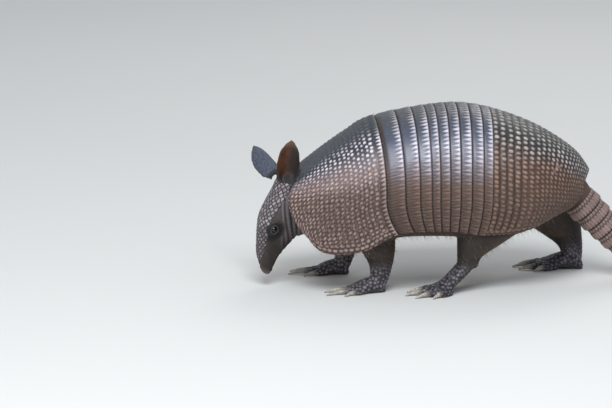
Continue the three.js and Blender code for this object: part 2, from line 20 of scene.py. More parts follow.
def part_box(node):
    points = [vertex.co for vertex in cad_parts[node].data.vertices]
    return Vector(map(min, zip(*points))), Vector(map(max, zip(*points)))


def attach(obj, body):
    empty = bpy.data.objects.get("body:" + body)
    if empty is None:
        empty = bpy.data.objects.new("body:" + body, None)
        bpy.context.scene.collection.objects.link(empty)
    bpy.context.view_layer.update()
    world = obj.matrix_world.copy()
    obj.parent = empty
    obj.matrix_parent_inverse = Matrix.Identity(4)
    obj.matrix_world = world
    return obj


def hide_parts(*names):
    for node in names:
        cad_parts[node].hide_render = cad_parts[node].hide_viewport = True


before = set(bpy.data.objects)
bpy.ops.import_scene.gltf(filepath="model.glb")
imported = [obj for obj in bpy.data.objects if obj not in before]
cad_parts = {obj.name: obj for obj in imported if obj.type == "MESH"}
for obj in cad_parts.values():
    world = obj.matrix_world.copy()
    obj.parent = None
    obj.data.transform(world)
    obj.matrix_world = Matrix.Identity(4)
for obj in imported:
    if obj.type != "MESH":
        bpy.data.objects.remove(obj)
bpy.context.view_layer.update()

MM = 0.001
BODY = "root"
chance = np.random.default_rng(9)
print("solids:", len(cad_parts))

# %% [markdown]
# ## Where the animal stands
#
# The shapes below are worked out in the animal's own millimetres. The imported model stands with
# its middle at the origin, so one shift takes us there. We get it from the left eye: a ball whose
# centre we know in both. The head has its own axes: x from between the ears to the nose, y to the
# animal's left and z out of its crown.

# %% The head's own axes
HEAD_ORIGIN = Vector((-177, -2, 112))
HEAD_PITCH = 79
HEAD_YAW = 18
head_turn = (Matrix.Rotation(math.radians(180 + HEAD_YAW), 4, "Z")
             @ Matrix.Rotation(math.radians(HEAD_PITCH), 4, "Y"))
head_matrix = Matrix.Translation(HEAD_ORIGIN) @ head_turn

# %% Helpers for smooth curves


def smooth_through(values, t):
    """A smooth curve through values at whole numbers, running on past its ends."""
    values = np.asarray(values, float)
    t = np.asarray(t, float)
    last = len(values) - 1
    i = np.clip(np.floor(t).astype(int), 0, last - 1)
    u = t - i
    ends = [[2 * values[0] - values[1]], values, [2 * values[-1] - values[-2]]]
    before, p, q, after = (np.concatenate(ends)[i + k] for k in range(4))
    rise, fall = (q - before) / 2, (after - p) / 2
    return ((2 * u**3 - 3 * u**2 + 1) * p + (u**3 - 2 * u**2 + u) * rise
            + (3 * u**2 - 2 * u**3) * q + (u**3 - u**2) * fall)


def ramp(x, low, high):
    """0 below low and 1 above high, softly between. It falls where low is above high."""
    t = np.clip((np.asarray(x, float) - low) / (high - low), 0, 1)
    return t * t * (3 - 2 * t)


def unit(vectors):
    return vectors / np.maximum(np.linalg.norm(vectors, axis=-1, keepdims=True), 1e-9)


def transformed(matrix, points):
    """Rows of points put through a matrix."""
    m = np.array(matrix)
    return points @ m[:3, :3].T + m[:3, 3]


# %% The head's surface
# Along the head: x, crown z, throat z, half width.
HEAD_STATIONS = np.array([
    [-22, -2, -28, 12], [-10, 2, -38, 20], [2, 4.5, -40, 22], [18, 10, -38, 24],
    [36, 15.5, -36, 23], [50, 16, -30, 18], [64, 14.5, -21, 13], [77, 12.5, -13, 9.8],
    [88, 8, -9, 8.4], [96, 3.5, -7, 7.5], [99, 0.5, -4.5, 5],
])
HEAD_WIDEST = 0.45
HEAD_SQUARENESS = 0.86
EYE_X = 47
EYE_LEVEL = 5.5
EYE_RADIUS = 4.3
EYE_PROUD = 1.6


def head_station(x):
    """Crown level, throat level and half width of the head at x."""
    t = np.interp(x, HEAD_STATIONS[:, 0], np.arange(len(HEAD_STATIONS)))
    return [smooth_through(HEAD_STATIONS[:, k], t) for k in (1, 2, 3)]


def head_point(x, angle, distance=0.0):
    """A point of the head; the angle runs round from the crown, distance moves it out."""
    crown, throat, half = head_station(x)
    level = crown - HEAD_WIDEST * (crown - throat)
    sin, cos = np.sin(angle), np.cos(angle)
    sin = np.sign(sin) * np.abs(sin) ** HEAD_SQUARENESS
    cos = np.sign(cos) * np.abs(cos) ** HEAD_SQUARENESS
    depth = np.where(cos >= 0, crown - level, level - throat)
    return np.stack([x + 0 * sin, (half + distance) * sin, level + (depth + distance) * cos], -1)


def eye_centre(side):
    """Centre of the eye in the head's own axes; side is 1 on the left and -1 on the right."""
    half = float(head_station(EYE_X)[2])
    return Vector((EYE_X, side * (half + EYE_PROUD - EYE_RADIUS), EYE_LEVEL))


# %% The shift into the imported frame
low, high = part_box("eye_left")
SHIFT = np.array((low + high) / 2) / MM - np.array(head_matrix @ eye_centre(1))
print("shift in mm:", SHIFT.round(3))


def to_row(points):
    """From the animal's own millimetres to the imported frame's metres."""
    return (np.asarray(points, float) + SHIFT) * MM


# %% [markdown]
# ## The shell's surface
#
# The real carapace is one smooth dome. Hoops run across it from the shoulders (0) to the rump (8).
# A point on it has two numbers: s along the hoops, and a from one lower rim (-1.4) over the back
# (0) to the other (1.4). Every plate is a patch of this surface, so neighbours always line up.

# %% The hoops, and a point of the shell
# Top x, z; widest x, half width, z; lower rim x, half width, z.
HOOPS = np.array([
    [-156, 128, -172, 48, 105, -155, 52, 68],
    [-136, 147, -141, 66, 105, -134, 62, 48],
    [-106, 169.5, -102, 75, 108, -92, 69, 50],
    [-73, 187.5, -67, 79, 110, -53, 73, 69],
    [5, 200, 3, 80, 111, 3, 73, 71],
    [54, 194.5, 49, 79, 110, 42, 72, 66],
    [106, 175, 98, 73, 109, 88, 65, 69],
    [147, 148.5, 133, 53, 105, 119, 49, 80],
    [166, 125, 156, 27, 105, 139, 33, 86],
])
RIM = 1.4
BAND_EDGES = [3, 3.32, 3.53, 3.695, 3.825, 3.99, 4.2, 4.465, 4.765, 5]


def shell_point(s, a):
    s, a = np.broadcast_arrays(np.asarray(s, float), np.asarray(a, float))
    top_x, top_z, side_x, side_y, side_z, rim_x, rim_y, rim_z = (
        smooth_through(HOOPS[:, k], s) for k in range(8))
    angle = np.clip(a, -1, 1) * np.pi / 2
    rise = np.cos(angle)
    over = np.stack([side_x + (top_x - side_x) * rise**2, side_y * np.sin(angle),
                     side_z + (top_z - side_z) * rise], -1)
    fall = np.clip((np.abs(a) - 1) / (RIM - 1), 0, None)
    under = np.stack([side_x + (rim_x - side_x) * fall**2,
                      np.sign(a) * (side_y + (rim_y - side_y) * fall**2),
                      side_z + (rim_z - side_z) * fall], -1)
    return np.where(np.abs(a)[..., None] <= 1, over, under)


def shell_normal(s, a):
    step = 0.02
    along = shell_point(s + step, a) - shell_point(s - step, a)
    over = shell_point(s, a + step) - shell_point(s, a - step)
    return unit(np.cross(along, over))


back_line = shell_point(np.linspace(0, 8, 99), 0)
back_length = np.linalg.norm(np.diff(back_line, axis=0), axis=1).sum()
print("shell length over the back:", round(float(back_length)), "mm")

# %% [markdown]
# ## Sheets of points
#
# Most pieces start as a flat grid of faces. We ask bmesh for the grid, read which row and column
# each vertex stands in, and then move all vertices on to the surface at once with numpy. That keeps
# the mesh regular, and anything we know about a vertex can be stored as an attribute that the
# material reads later. Where points of the sheet meet, merging them closes it. A sheet may come
# out with its faces turned inwards, so we compare them with its middle and turn them round.

# %% Helpers for meshes


def mesh_from(bm, name):
    mesh = bpy.data.meshes.new(name)
    bm.to_mesh(mesh)
    bm.free()
    return mesh


def grid_mesh(name, rows, columns):
    """A grid of faces and, for each vertex, its row and column."""
    bm = bmesh.new()
    bmesh.ops.create_grid(bm, x_segments=rows, y_segments=columns, size=1)
    mesh = mesh_from(bm, name)
    co = read_points(mesh)
    row = np.rint((co[:, 0] + 1) / 2 * rows).astype(int)
    column = np.rint((co[:, 1] + 1) / 2 * columns).astype(int)
    assert row.max() == rows and column.max() == columns
    return mesh, row, column


def read_points(mesh):
    co = np.empty(len(mesh.vertices) * 3)
    mesh.vertices.foreach_get("co", co)
    return co.reshape(-1, 3)


def write_points(mesh, points):
    mesh.vertices.foreach_set("co", np.ascontiguousarray(points, dtype=np.float32).ravel())
    mesh.update()


def keep(mesh, name, values):
    """Stores a number for each vertex, for the material to read."""
    attribute = mesh.attributes.new(name, "FLOAT", "POINT")
    attribute.data.foreach_set("value", np.ascontiguousarray(values, dtype=np.float32).ravel())


def own_points(mesh):
    """The mesh's points in the animal's own millimetres."""
    return read_points(mesh) / MM - SHIFT


def sheet_to_mesh(name, points, numbers=None):
    """A mesh through rows and columns of points in metres, with coinciding points merged."""
    mesh, r, c = grid_mesh(name, points.shape[0] - 1, points.shape[1] - 1)
    write_points(mesh, points[r, c])
    for key, values in (numbers or {}).items():
        keep(mesh, key, values[r, c])
    bm = bmesh.new()
    bm.from_mesh(mesh)
    bmesh.ops.remove_doubles(bm, verts=bm.verts, dist=0.001 * MM)
    bm.normal_update()
    middle = Vector(points.reshape(-1, 3).mean(0))
    outward = sum(f.calc_area() * f.normal.dot(f.calc_center_median() - middle) for f in bm.faces)
    if outward < 0:
        bmesh.ops.reverse_faces(bm, faces=bm.faces)
    bm.to_mesh(mesh)
    bm.free()
    return mesh


# %% Helpers for objects and finished pieces


def add_object(name, data):
    made = bpy.data.objects.new(name, data)
    bpy.context.scene.collection.objects.link(made)
    return made


def applied(holder):
    """The object's mesh with its modifiers applied. The object itself goes."""
    shape = holder.evaluated_get(bpy.context.evaluated_depsgraph_get())
    mesh = bpy.data.meshes.new_from_object(shape)
    bpy.data.objects.remove(holder)
    return mesh


def finish_piece(mesh, replaced, material, wall=0.0):
    """Links the mesh as a piece that stands for CAD nodes, with a wall if it is a shell."""
    mesh.polygons.foreach_set("use_smooth", np.ones(len(mesh.polygons), bool))
    mesh.materials.append(material)
    piece = add_object(mesh.name, mesh)
    if wall:
        solidify = piece.modifiers.new("wall", "SOLIDIFY")
        solidify.thickness = wall * MM
        solidify.offset = -1
    if replaced:
        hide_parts(*replaced)
    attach(piece, BODY)
    print(f"{mesh.name}: {len(mesh.polygons)} faces")
    return piece


def horn_piece(node, points, numbers, material, wall=0.0):
    """A piece of horn in place of one CAD node, through rows and columns of points in metres."""
    mesh = sheet_to_mesh(f"{node}_horn", points, numbers)
    return finish_piece(mesh, [node], material, wall)


# %% [markdown]
# ## Scutes
#
# The horn is divided into scutes. On the two shields each has a pale round boss in a dark field;
# on the bands each ends in a pale wedge at the rear edge. We lay out the bosses as a staggered
# lattice with a little disorder and ask, for every vertex, which boss is nearest and how far the
# border to the next one is. From those two distances come both the relief and the colour.

# %% Which scute a point belongs to


def noise_of(row, column, seed):
    """A number from 0 to 1 that is always the same for a row, a column and a seed."""
    value = np.sin(row * 127.1 + column * 311.7 + seed * 74.7) * 43758.5453
    return value - np.floor(value)


def scutes(row, run, row_pitch, pitch, skew, jitter, seed, stagger_from=-99, around=10**6):
    """Each point's own scute: offset from its middle both ways, distance to its border, its number.

    row counts the rows and run is the millimetres along a row. pitch is the millimetres from one
    scute to the next, or a function that gives them for a row. skew is the cosine of the angle
    between the two directions. Around a closed ring the scutes of a row repeat.
    """
    pitch_of = pitch if callable(pitch) else lambda r: pitch
    found = []
    for dr in (-1, 0, 1):
        r = np.rint(row) + dr
        wide = pitch_of(r)
        offset = 0.5 * (r % 2) * (r >= stagger_from)
        for dc in (-1, 0, 1):
            c = np.rint(run / wide - offset) + dc
            name = c % around
            middle_row = r + jitter * (noise_of(r, name, seed) - 0.5)
            middle = c + offset + jitter * (noise_of(r, name, seed + 1) - 0.5)
            found.append([(row - middle_row) * row_pitch, run - middle * wide,
                          noise_of(r, name, seed + 2)])
    du, dv, number = (np.stack([f[k] + 0 * row for f in found]) for k in range(3))
    distance = np.sqrt(np.maximum(du**2 + dv**2 + 2 * skew * du * dv, 0))
    own = distance.argmin(0)[None]
    own_u, own_v, own_d, own_n = (
        np.take_along_axis(x, own, 0)[0] for x in (du, dv, distance, number))
    step_u, step_v = own_u - du, own_v - dv
    apart = np.sqrt(np.maximum(step_u**2 + step_v**2 + 2 * skew * step_u * step_v, 0))
    border = np.where(apart > 1e-6, (distance**2 - own_d**2) / np.maximum(2 * apart, 1e-6), 1e9)
    return own_u + skew * own_v, own_v * np.sqrt(1 - skew**2), border.min(0), own_n


def wedges(behind, along, pitch, length):
    """How far a point lies inside a row of wedges whose bases stand on an edge, in millimetres."""
    across = np.abs((along / pitch) % 1 - 0.5) * pitch
    return pitch / 2 * (1 - behind / length) - across


# %% [markdown]
# ## Writing materials as sums
#
# Every finish here is procedural. A Value is one output socket; adding or multiplying Values adds
# Math nodes, so a mask reads like a formula. A Finish is one material with its Principled shader,
# its node() method makes any other node, and paint() lays colours over one another, each by its
# own mask. Patterns read the position of the surface, which stays put, or the numbers that we
# stored on the vertices.

# %% Value


class Value:
    """One output socket, with arithmetic."""

    def __init__(self, finish, socket):
        self.finish = finish
        self.socket = socket

    def __add__(self, other):
        return self.finish.math("ADD", self, other)

    def __sub__(self, other):
        return self.finish.math("SUBTRACT", self, other)

    def __rsub__(self, other):
        return self.finish.math("SUBTRACT", other, self)

    def __mul__(self, other):
        return self.finish.math("MULTIPLY", self, other)

    __radd__ = __add__
    __rmul__ = __mul__

    def step(self, low, high):
        """0 below low and 1 above high, softly between. It falls where low is above high."""
        if low > high:
            return 1 - self.step(high, low)
        return self.finish.node("ShaderNodeMapRange", {"interpolation_type": "SMOOTHSTEP"},
                                {"Value": self, "From Min": low, "From Max": high})


# %% Finish


class Finish:
    """One material and the nodes that drive its Principled shader."""

    def __init__(self, name, **constants):
        self.material = bpy.data.materials.new(name)
        self.material.use_nodes = True
        self.nodes = self.material.node_tree.nodes
        self.shader = self.nodes["Principled BSDF"]
        self.wear(**constants)

    def put(self, target, value):
        if isinstance(value, Value):
            self.material.node_tree.links.new(value.socket, target)
        else:
            target.default_value = value

    def node(self, kind, settings=None, inputs=None, output=0):
        made = self.nodes.new(kind)
        for key, value in (settings or {}).items():
            setattr(made, key, value)
        for key, value in (inputs or {}).items():
            self.put(made.inputs[key], value)
        return Value(self, made.outputs[output])

    def math(self, operation, *values):
        return self.node("ShaderNodeMath", {"operation": operation}, dict(enumerate(values)))

    def number(self, attribute):
        return self.node("ShaderNodeAttribute", {"attribute_name": attribute}, output="Fac")

    def place(self, stretch):
        position = self.node("ShaderNodeTexCoord", output="Object")
        return self.node("ShaderNodeMapping", None, {"Vector": position, "Scale": stretch})

    def noise(self, scale, detail=3.0, stretch=(1, 1, 1)):
        return self.node("ShaderNodeTexNoise", None, {
            "Vector": self.place(stretch), "Scale": scale, "Detail": detail, "Roughness": 0.55})

    def cells(self, scale, stretch=(1, 1, 1)):
        """Distance to the border between the cells of a random pattern."""
        return self.node("ShaderNodeTexVoronoi", {"feature": "DISTANCE_TO_EDGE"},
                         {"Vector": self.place(stretch), "Scale": scale})

    def mix(self, factor, a, b):
        """A colour part of the way from a to b."""
        return self.node("ShaderNodeMix", {"data_type": "RGBA"},
                         {0: factor, 6: a, 7: b}, 2)

    def paint(self, color, *coats):
        """A colour with coats over it, one after the other, each where its mask lets it."""
        for mask, coat_color in coats:
            color = self.mix(mask, color, coat_color)
        return color

    def bump(self, height, distance, strength=1.0):
        return self.node("ShaderNodeBump", None,
                         {"Height": height, "Distance": distance * MM, "Strength": strength})

    def wear(self, **sockets):
        """Sets the shader's sockets, named in words with underscores, to numbers or Values."""
        for socket, value in sockets.items():
            name = socket.replace("_", " ").title().replace("Ior", "IOR")
            self.put(self.shader.inputs[name], value)
        return self.material


# %% Tints


def tint(red, green, blue):
    """A colour as read off a screen, from 0 to 255, as Blender's linear one."""
    linear = [c / 12.92 if c <= 0.04045 else ((c + 0.055) / 1.055) ** 2.4
              for c in (red / 255, green / 255, blue / 255)]
    return (*linear, 1.0)


# %% [markdown]
# ## Horn
#
# The horn is slate blue and smooth over the back, where it mirrors the sky, and turns pinkish brown
# down the flanks. The slate blue is partly the horn's own dark and partly painted reflection of the
# sky, and the middle of the back carries a dull grey painted reflection as well, with a painted
# highlight below it. Under the edge of each plate that overlaps the next, the dark is painted
# shadow. The bosses and wedges are worn pale. A fine grain runs along the body, because a
# burrowing animal scrapes its armour lengthwise all its life.

# %% The horn of the shields, bands, tail and head
BLACK = (0, 0, 0, 1)


def horn(name, dark, flank, pale, pale_flank, turn_from, turn_to, roughness=0.42,
         seam=tint(28, 21, 18), crown=tint(58, 58, 50), flank_highlight=0.0):
    """Horn that goes from dark to its flank colour between two distances from the back's middle.

    The crown tint is a painted reflection, a dull grey over the middle of the back, and below it
    lies a painted highlight on the upper flanks. The seam colour fills the grooves; where a plate's
    edge overlaps the next, that dark is painted shadow too.
    """
    f = Finish(name, roughness=roughness, coat_roughness=0.3, specular_ior_level=0.5)
    over, groove, number = (f.number(key) for key in ("over", "groove", "scute"))
    grain = f.noise(900, 2, (0.12, 1, 1))
    blotch = f.noise(60, 3)
    down = (over + (blotch - 0.5) * 0.3).step(turn_from, turn_to)
    field = f.mix(down, dark, flank)
    field = f.paint(
        field,
        ((number - 0.5) * 0.3 + (blotch - 0.45) * 0.7, f.mix(0.5, field, BLACK)),
        # painted reflection: a dull grey over the middle of the back
        (over.step(0.55, 0.15) * 0.7, crown),
        # painted highlight on the upper flanks
        (over.step(0.42, 0.6) * over.step(0.95, 0.7) * flank_highlight, tint(150, 136, 141)),
        (over.step(0.75, 1.2) * 0.6, tint(58, 39, 28)))
    light = f.paint(
        pale,
        (down, pale_flank),
        # the same painted reflection greys the pale bosses over the back
        (over.step(0.45, 0.1) * 0.6, tint(134, 130, 119)),
        (over.step(0.8, 1.25) * 0.25, tint(70, 52, 42)))
    color = f.paint(
        field,
        (f.number("pale") * (0.66 + 0.4 * number), light),
        ((grain - 0.5) * 0.6, tint(150, 146, 154)),
        (f.number("furrow") * 0.8, tint(58, 44, 34)),
        (f.number("scar") * 0.6, tint(168, 132, 124)),
        (groove * 0.85, seam))
    relief = grain * 0.5 + f.noise(2600, 2) * 0.25
    rough = (roughness - 0.06 + 0.25 * groove) + ((blotch - 0.3) * 0.25 + down * 0.12)
    return f.wear(base_color=color, roughness=rough, coat_weight=(1 - groove) * 0.12,
                  normal=f.bump(relief, 0.25, 0.6))


# The dark tints over the back are blued in part as painted reflection of the sky.
scapular_horn = horn("horn_shoulder", tint(46, 52, 60), tint(74, 53, 45), tint(220, 208, 215),
                     tint(186, 158, 151), 0.45, 0.75, crown=tint(56, 61, 66), flank_highlight=0.3)
pelvic_horn = horn("horn_hip", tint(40, 36, 36), tint(76, 51, 37), tint(190, 180, 176),
                   tint(152, 120, 101), 0.4, 0.75)
band_horn = horn("horn_band", tint(72, 79, 97), tint(96, 71, 59), tint(208, 199, 210),
                 tint(174, 141, 126), 0.6, 0.95, 0.38, flank_highlight=0.2)
tail_horn = horn("horn_tail", tint(74, 56, 49), tint(74, 56, 49), tint(146, 122, 115),
                 tint(146, 122, 115), 2.0, 3.0, 0.5, tint(54, 40, 34))
cap_horn = horn("horn_head", tint(52, 46, 47), tint(52, 45, 44), tint(176, 164, 168),
                tint(150, 135, 134), 0.6, 1.2, 0.45, tint(28, 23, 23))
print("nodes in the shoulder's horn:", len(scapular_horn.node_tree.nodes))

# %% [markdown]
# ## The two shields
#
# A shield could be a smooth dome with a bumpy material, but its outline and its shadows would
# stay smooth. Here each boss is raised in the mesh itself. Rows of scutes follow the hoops. On the
# hip shield the first rows still look like bands: straight columns with a deep furrow between.

# %% A patch of the shell, and distances on it
TUCK = 1.9  # how far a plate's front dips below the plate before it
PLATE_REACH = 0.09  # how far it runs on below that plate, in hoops
REAR_GAP = 0.0045  # between a plate's rear edge and the next hoop, in hoops


def rounded_edge(distance, reach, depth):
    """How far a plate's face falls away towards its edge."""
    return -depth * np.clip(1 - distance / reach, 0, 1) ** 2


def run_along(points, axis):
    """Millimetres from the start of each row (axis 1) or each column (axis 0) of points."""
    steps = np.linalg.norm(np.diff(points, axis=axis), axis=2)
    return np.insert(np.cumsum(steps, axis), 0, 0, axis)


def centred(run):
    middle = run.shape[1] // 2
    return run - run[:, middle:middle + 1]


def from_ends(run):
    return np.minimum(run - run[:, :1], run[:, -1:] - run)


class ShellSheet:
    """A patch of the shell from rim to rim between two hoops, with the distances on it."""

    def __init__(self, first, last, faces):
        rows, columns = faces
        self.hoops = np.linspace(first, last, rows + 1)
        self.s, self.a = np.meshgrid(self.hoops, np.linspace(-RIM, RIM, columns + 1), indexing="ij")
        self.over = np.abs(self.a)
        self.points = shell_point(self.s, self.a)
        self.run = centred(run_along(self.points, 1))
        self.from_rim = from_ends(self.run)
        self.along = run_along(self.points, 0)
        self.behind = self.along[-1] - self.along
        down, across = (np.gradient(self.points, axis=k) for k in (0, 1))
        lengths = np.linalg.norm(down, axis=2)
        self.per_hoop = lengths / (self.hoops[1] - self.hoops[0])
        self.skew = (down * across).sum(2) / (lengths * np.linalg.norm(across, axis=2))

    def raised(self, height):
        """The sheet's points in metres, moved out along the normals."""
        return to_row(self.points + shell_normal(self.s, self.a) * height[..., None])


# %% [markdown]
# A shield carries three kinds of scute: large ones in rows that follow the hoops, a margin of
# longer ones along each lower rim, and on the flanks small ones that fill the gaps.

# %% Large and small scutes
SMALL_BOSS = 0.14  # a small boss as a share of a row's pitch


def large_scutes(sheet, settings):
    """Rows, millimetres from row to row, millimetres along the rows, and the four of scutes()."""
    row = np.interp(sheet.s, *settings["rows"])
    rows_per_hoop = np.gradient(row[:, 0], sheet.hoops)
    row_pitch = sheet.per_hoop / np.interp(sheet.s, sheet.hoops, rows_per_hoop)
    # Scutes are wider over the back than on the flanks, so the count runs slower there.
    slower = 1 + settings["widen"] * ramp(sheet.over[:, 1:], 0.85, 0.3)
    run = centred(np.insert(np.cumsum(np.diff(sheet.run, axis=1) / slower, 1), 0, 0, 1))
    found = scutes(row, run, row_pitch, settings["pitch"], sheet.skew, settings["jitter"],
                   settings["seed"], settings["stagger_from"])
    return row, row_pitch, run, found


def small_scutes(sheet, settings, row, row_pitch, run):
    """How much a point belongs to the top of a small scute."""
    u, v, _, number = scutes(2 * row, run, row_pitch / 2, lambda r: settings["pitch"](r / 2) / 2,
                             sheet.skew, 0.5, 3.0)
    size = SMALL_BOSS * (0.6 + 0.8 * number) * row_pitch
    return ramp(np.hypot(u / size, v / size), 1.3, 0.7) * ramp(sheet.over, *settings["small_from"])


# %% A shield
SHIELD_WALL = 3.2
MARGIN_ROW = 5.0
MARGIN_PITCH = 6.0
MARGIN_BOSS = (1.5, 2.3)  # half its length and half its width
REAR_WEDGE = (4.7, 6.0)  # width and length


def shield(name, first, last, settings, material):
    """A shield between two hoops, with its bosses, borders and margins."""
    sheet = ShellSheet(first, last, settings["faces"])
    behind, from_rim = sheet.behind, sheet.from_rim
    row, row_pitch, run, (u, v, border, number) = large_scutes(sheet, settings)
    size = settings["boss"] * (0.85 + 0.3 * number)
    inside = np.hypot(u / (size * row_pitch), v / (size * settings["pitch"](np.rint(row))))

    margin = from_rim < settings["margin"]
    rim_run = run_along(sheet.points[:, :1], 0)
    rim_u, rim_v, rim_border, rim_number = scutes(
        from_rim / MARGIN_ROW, rim_run + 0 * run, MARGIN_ROW, MARGIN_PITCH, 0, 0.2, 7.0)
    inside = np.where(margin, np.hypot(rim_u / MARGIN_BOSS[0], rim_v / MARGIN_BOSS[1]), inside)
    border = np.where(margin, np.minimum(rim_border, abs(from_rim - settings["margin"])), border)
    number = np.where(margin, rim_number, number)
    small = small_scutes(sheet, settings, row, row_pitch, run)
    small *= ramp(inside, 1.5, 2.0) * ~margin

    pale = np.maximum(ramp(inside, 1.3, 0.75), 0.7 * small)
    dome = np.maximum(np.clip(1 - (inside / 1.25)**2, 0, 1) ** 0.7, 0.45 * small)
    groove = 0.45 * ramp(border, 0.6, 0.1)
    height = 0.6 * dome - 0.3 * groove
    furrow = np.zeros_like(height)
    if settings["furrows"]:
        last_furrow = settings["furrows"]
        to_line = np.abs(row - np.rint(row - 0.5) - 0.5) * row_pitch
        furrow = ramp(to_line, 1.3, 0.3) * ramp(row, last_furrow, last_furrow - 2) * ~margin
        height = height - 0.8 * furrow
        furrow *= 0.1 + 0.9 * ramp(sheet.over, 0.4, 0.85)
    if settings["rear_wedges"]:
        pitch, length = REAR_WEDGE
        depth = wedges(behind - 0.8, sheet.run, pitch, length)
        rear = behind < length + 1.2
        pale = np.where(rear, ramp(depth, -0.1, 0.6) * ramp(behind, 0.3, 0.9), pale)
        height = np.where(rear, 0.45 * ramp(depth, -0.2, 0.8), height)
        groove = np.where(rear, 0.4 * ramp(depth, 0.1, -0.6), groove)
    height += rounded_edge(from_rim, 2.2, 1.3) + rounded_edge(behind, 1.6, 0.9)
    if settings["tucked"]:
        height -= TUCK * ramp(sheet.along, 5.0, 0.0)
    else:
        height += rounded_edge(sheet.along, 2.5, 1.4)
    numbers = {"over": sheet.over, "pale": pale * settings["show"](sheet.s, sheet.over),
               "groove": np.maximum(groove, furrow), "scute": number}
    return horn_piece(name, sheet.raised(height), numbers, material, SHIELD_WALL)


# %% [markdown]
# The two shields differ only in their settings. rows gives the number of the scute row at some
# hoops, and pitch the width of a scute in a row. boss is a boss's size as a share of its scute,
# widen how much wider the scutes are over the back, and jitter their disorder, which seed picks.
# Down the flanks, from small_from on, small scutes fill in between the bosses. stagger_from is the
# first row that is shifted by half a scute, furrows the last row with a furrow behind it, and
# margin the width of the lower margin. rear_wedges puts a row of long wedges at the rear edge,
# tucked lowers the front edge under the next plate, and show says how plainly the bosses stand
# out in colour.

# %% The shoulder shield


def scapular_show(s, a):
    """The bosses show on the flanks; over the back only faintly, higher up towards the rear."""
    line = 0.34 + 0.42 * np.exp(-s / 0.5)
    low = ramp(a, 0.72, 0.95) * ramp(a, 1.38, 1.1) * ramp(s, 0.3, 1.2)
    return (0.1 + 0.9 * ramp(a, line - 0.12, line + 0.08)) * (1 - 0.4 * low)


shield("scapular_shield", 0, 3 - REAR_GAP, {
    "faces": (154, 318), "rows": ([0, 1, 2, 3], [0, 7, 14.5, 20.5]),
    "pitch": lambda row: np.interp(row, [0, 14, 21], [4.5, 4.7, 5.4]),
    "boss": 0.265, "widen": 0.2, "jitter": 0.3, "seed": 3.0, "small_from": (0.5, 0.8),
    "stagger_from": -99, "furrows": 0, "margin": 10.0, "rear_wedges": True, "tucked": False,
    "show": scapular_show}, scapular_horn)

# %% The hip shield


def pelvic_show(_, a):
    """The bosses show everywhere, a little weaker on the crown and low on the flanks."""
    return 0.75 + 0.25 * ramp(a, 0.1, 0.35) - 0.3 * ramp(a, 0.72, 0.95)


pelvic = shield("pelvic_shield", 5 - PLATE_REACH, 8, {
    "faces": (160, 306), "rows": ([5 - PLATE_REACH, 6, 7, 8], [0, 7, 14.5, 23]),
    "pitch": lambda row: np.interp(row, [0, 7, 23], [5.1, 5.0, 4.2]),
    "boss": 0.265, "widen": 0.45, "jitter": 0.17, "seed": 5.0, "small_from": (0.75, 1.1),
    "stagger_from": 4, "furrows": 6, "margin": 6.0, "rear_wedges": False, "tucked": True,
    "show": pelvic_show}, pelvic_horn)

# %% [markdown]
# An old scratch shows pink on the left of the hip shield. It is three short strokes, drawn by the
# distance of each vertex to them, as seen from the side.

# %% A healed scratch
SCRATCH = (((116, 131), (121, 136)), ((121, 136), (123, 142)), ((121, 136), (128, 138)))
SCRATCH_WIDTH = 1.6


def to_stroke(points, start, end):
    start, end = np.array(start, float), np.array(end, float)
    along = np.clip((points - start) @ (end - start) / ((end - start) @ (end - start)), 0, 1)
    return np.linalg.norm(points - start - along[:, None] * (end - start), axis=1)


hip = own_points(pelvic.data)
from_scratch = np.min([to_stroke(hip[:, [0, 2]], *stroke) for stroke in SCRATCH], axis=0)
scar = ramp(from_scratch, SCRATCH_WIDTH, 0.4) * (hip[:, 1] < 0)
keep(pelvic.data, "scar", scar)
print("points in the scratch:", int((scar > 0.5).sum()))

# %% [markdown]
# ## The nine bands
#
# Each band is its own plate. Its front edge slides under the plate before it and its rear edge
# stands over the next. The wedges point forward from the rear edge, one to each scute.

# %% A band
BAND_PITCH = 5.1
LINE_PITCH = BAND_PITCH * 2 / 3
BAND_FACES = (26, 480)
BAND_WALL = 2.2
WEDGE_LENGTH = 8.5
FIRST_FURROW = 5.5  # bare brown skin in front of the first band


def band_wedges(sheet, number, run):
    """How far a point lies inside its wedge, how pale it is there, and the number of its scute."""
    scute = np.floor(run / BAND_PITCH)
    room = 0.66 * (BAND_EDGES[number] - BAND_EDGES[number - 1]) * sheet.per_hoop.mean()
    length = min(room, WEDGE_LENGTH) * (0.8 + 0.35 * noise_of(scute, number, 5.0))
    depth = wedges(sheet.behind - 1.0, run, BAND_PITCH, length)
    over = sheet.over
    pale = ramp(depth, -0.2, 0.8) * (0.6 + 0.4 * ramp(sheet.behind, length, 2.0))
    pale *= (0.55 + 0.45 * ramp(over, 0.0, 0.4)) * (1 - 0.72 * ramp(over, 0.62, 0.95))
    return depth, pale * ramp(sheet.behind, 0.2, 0.9), noise_of(scute, number, 4.0)


def scratched_lines(run, pitch, wide, narrow):
    """Thin lines that run along the body, one to each pitch."""
    return ramp(np.abs(run / pitch - np.rint(run / pitch)) * pitch, wide, narrow)


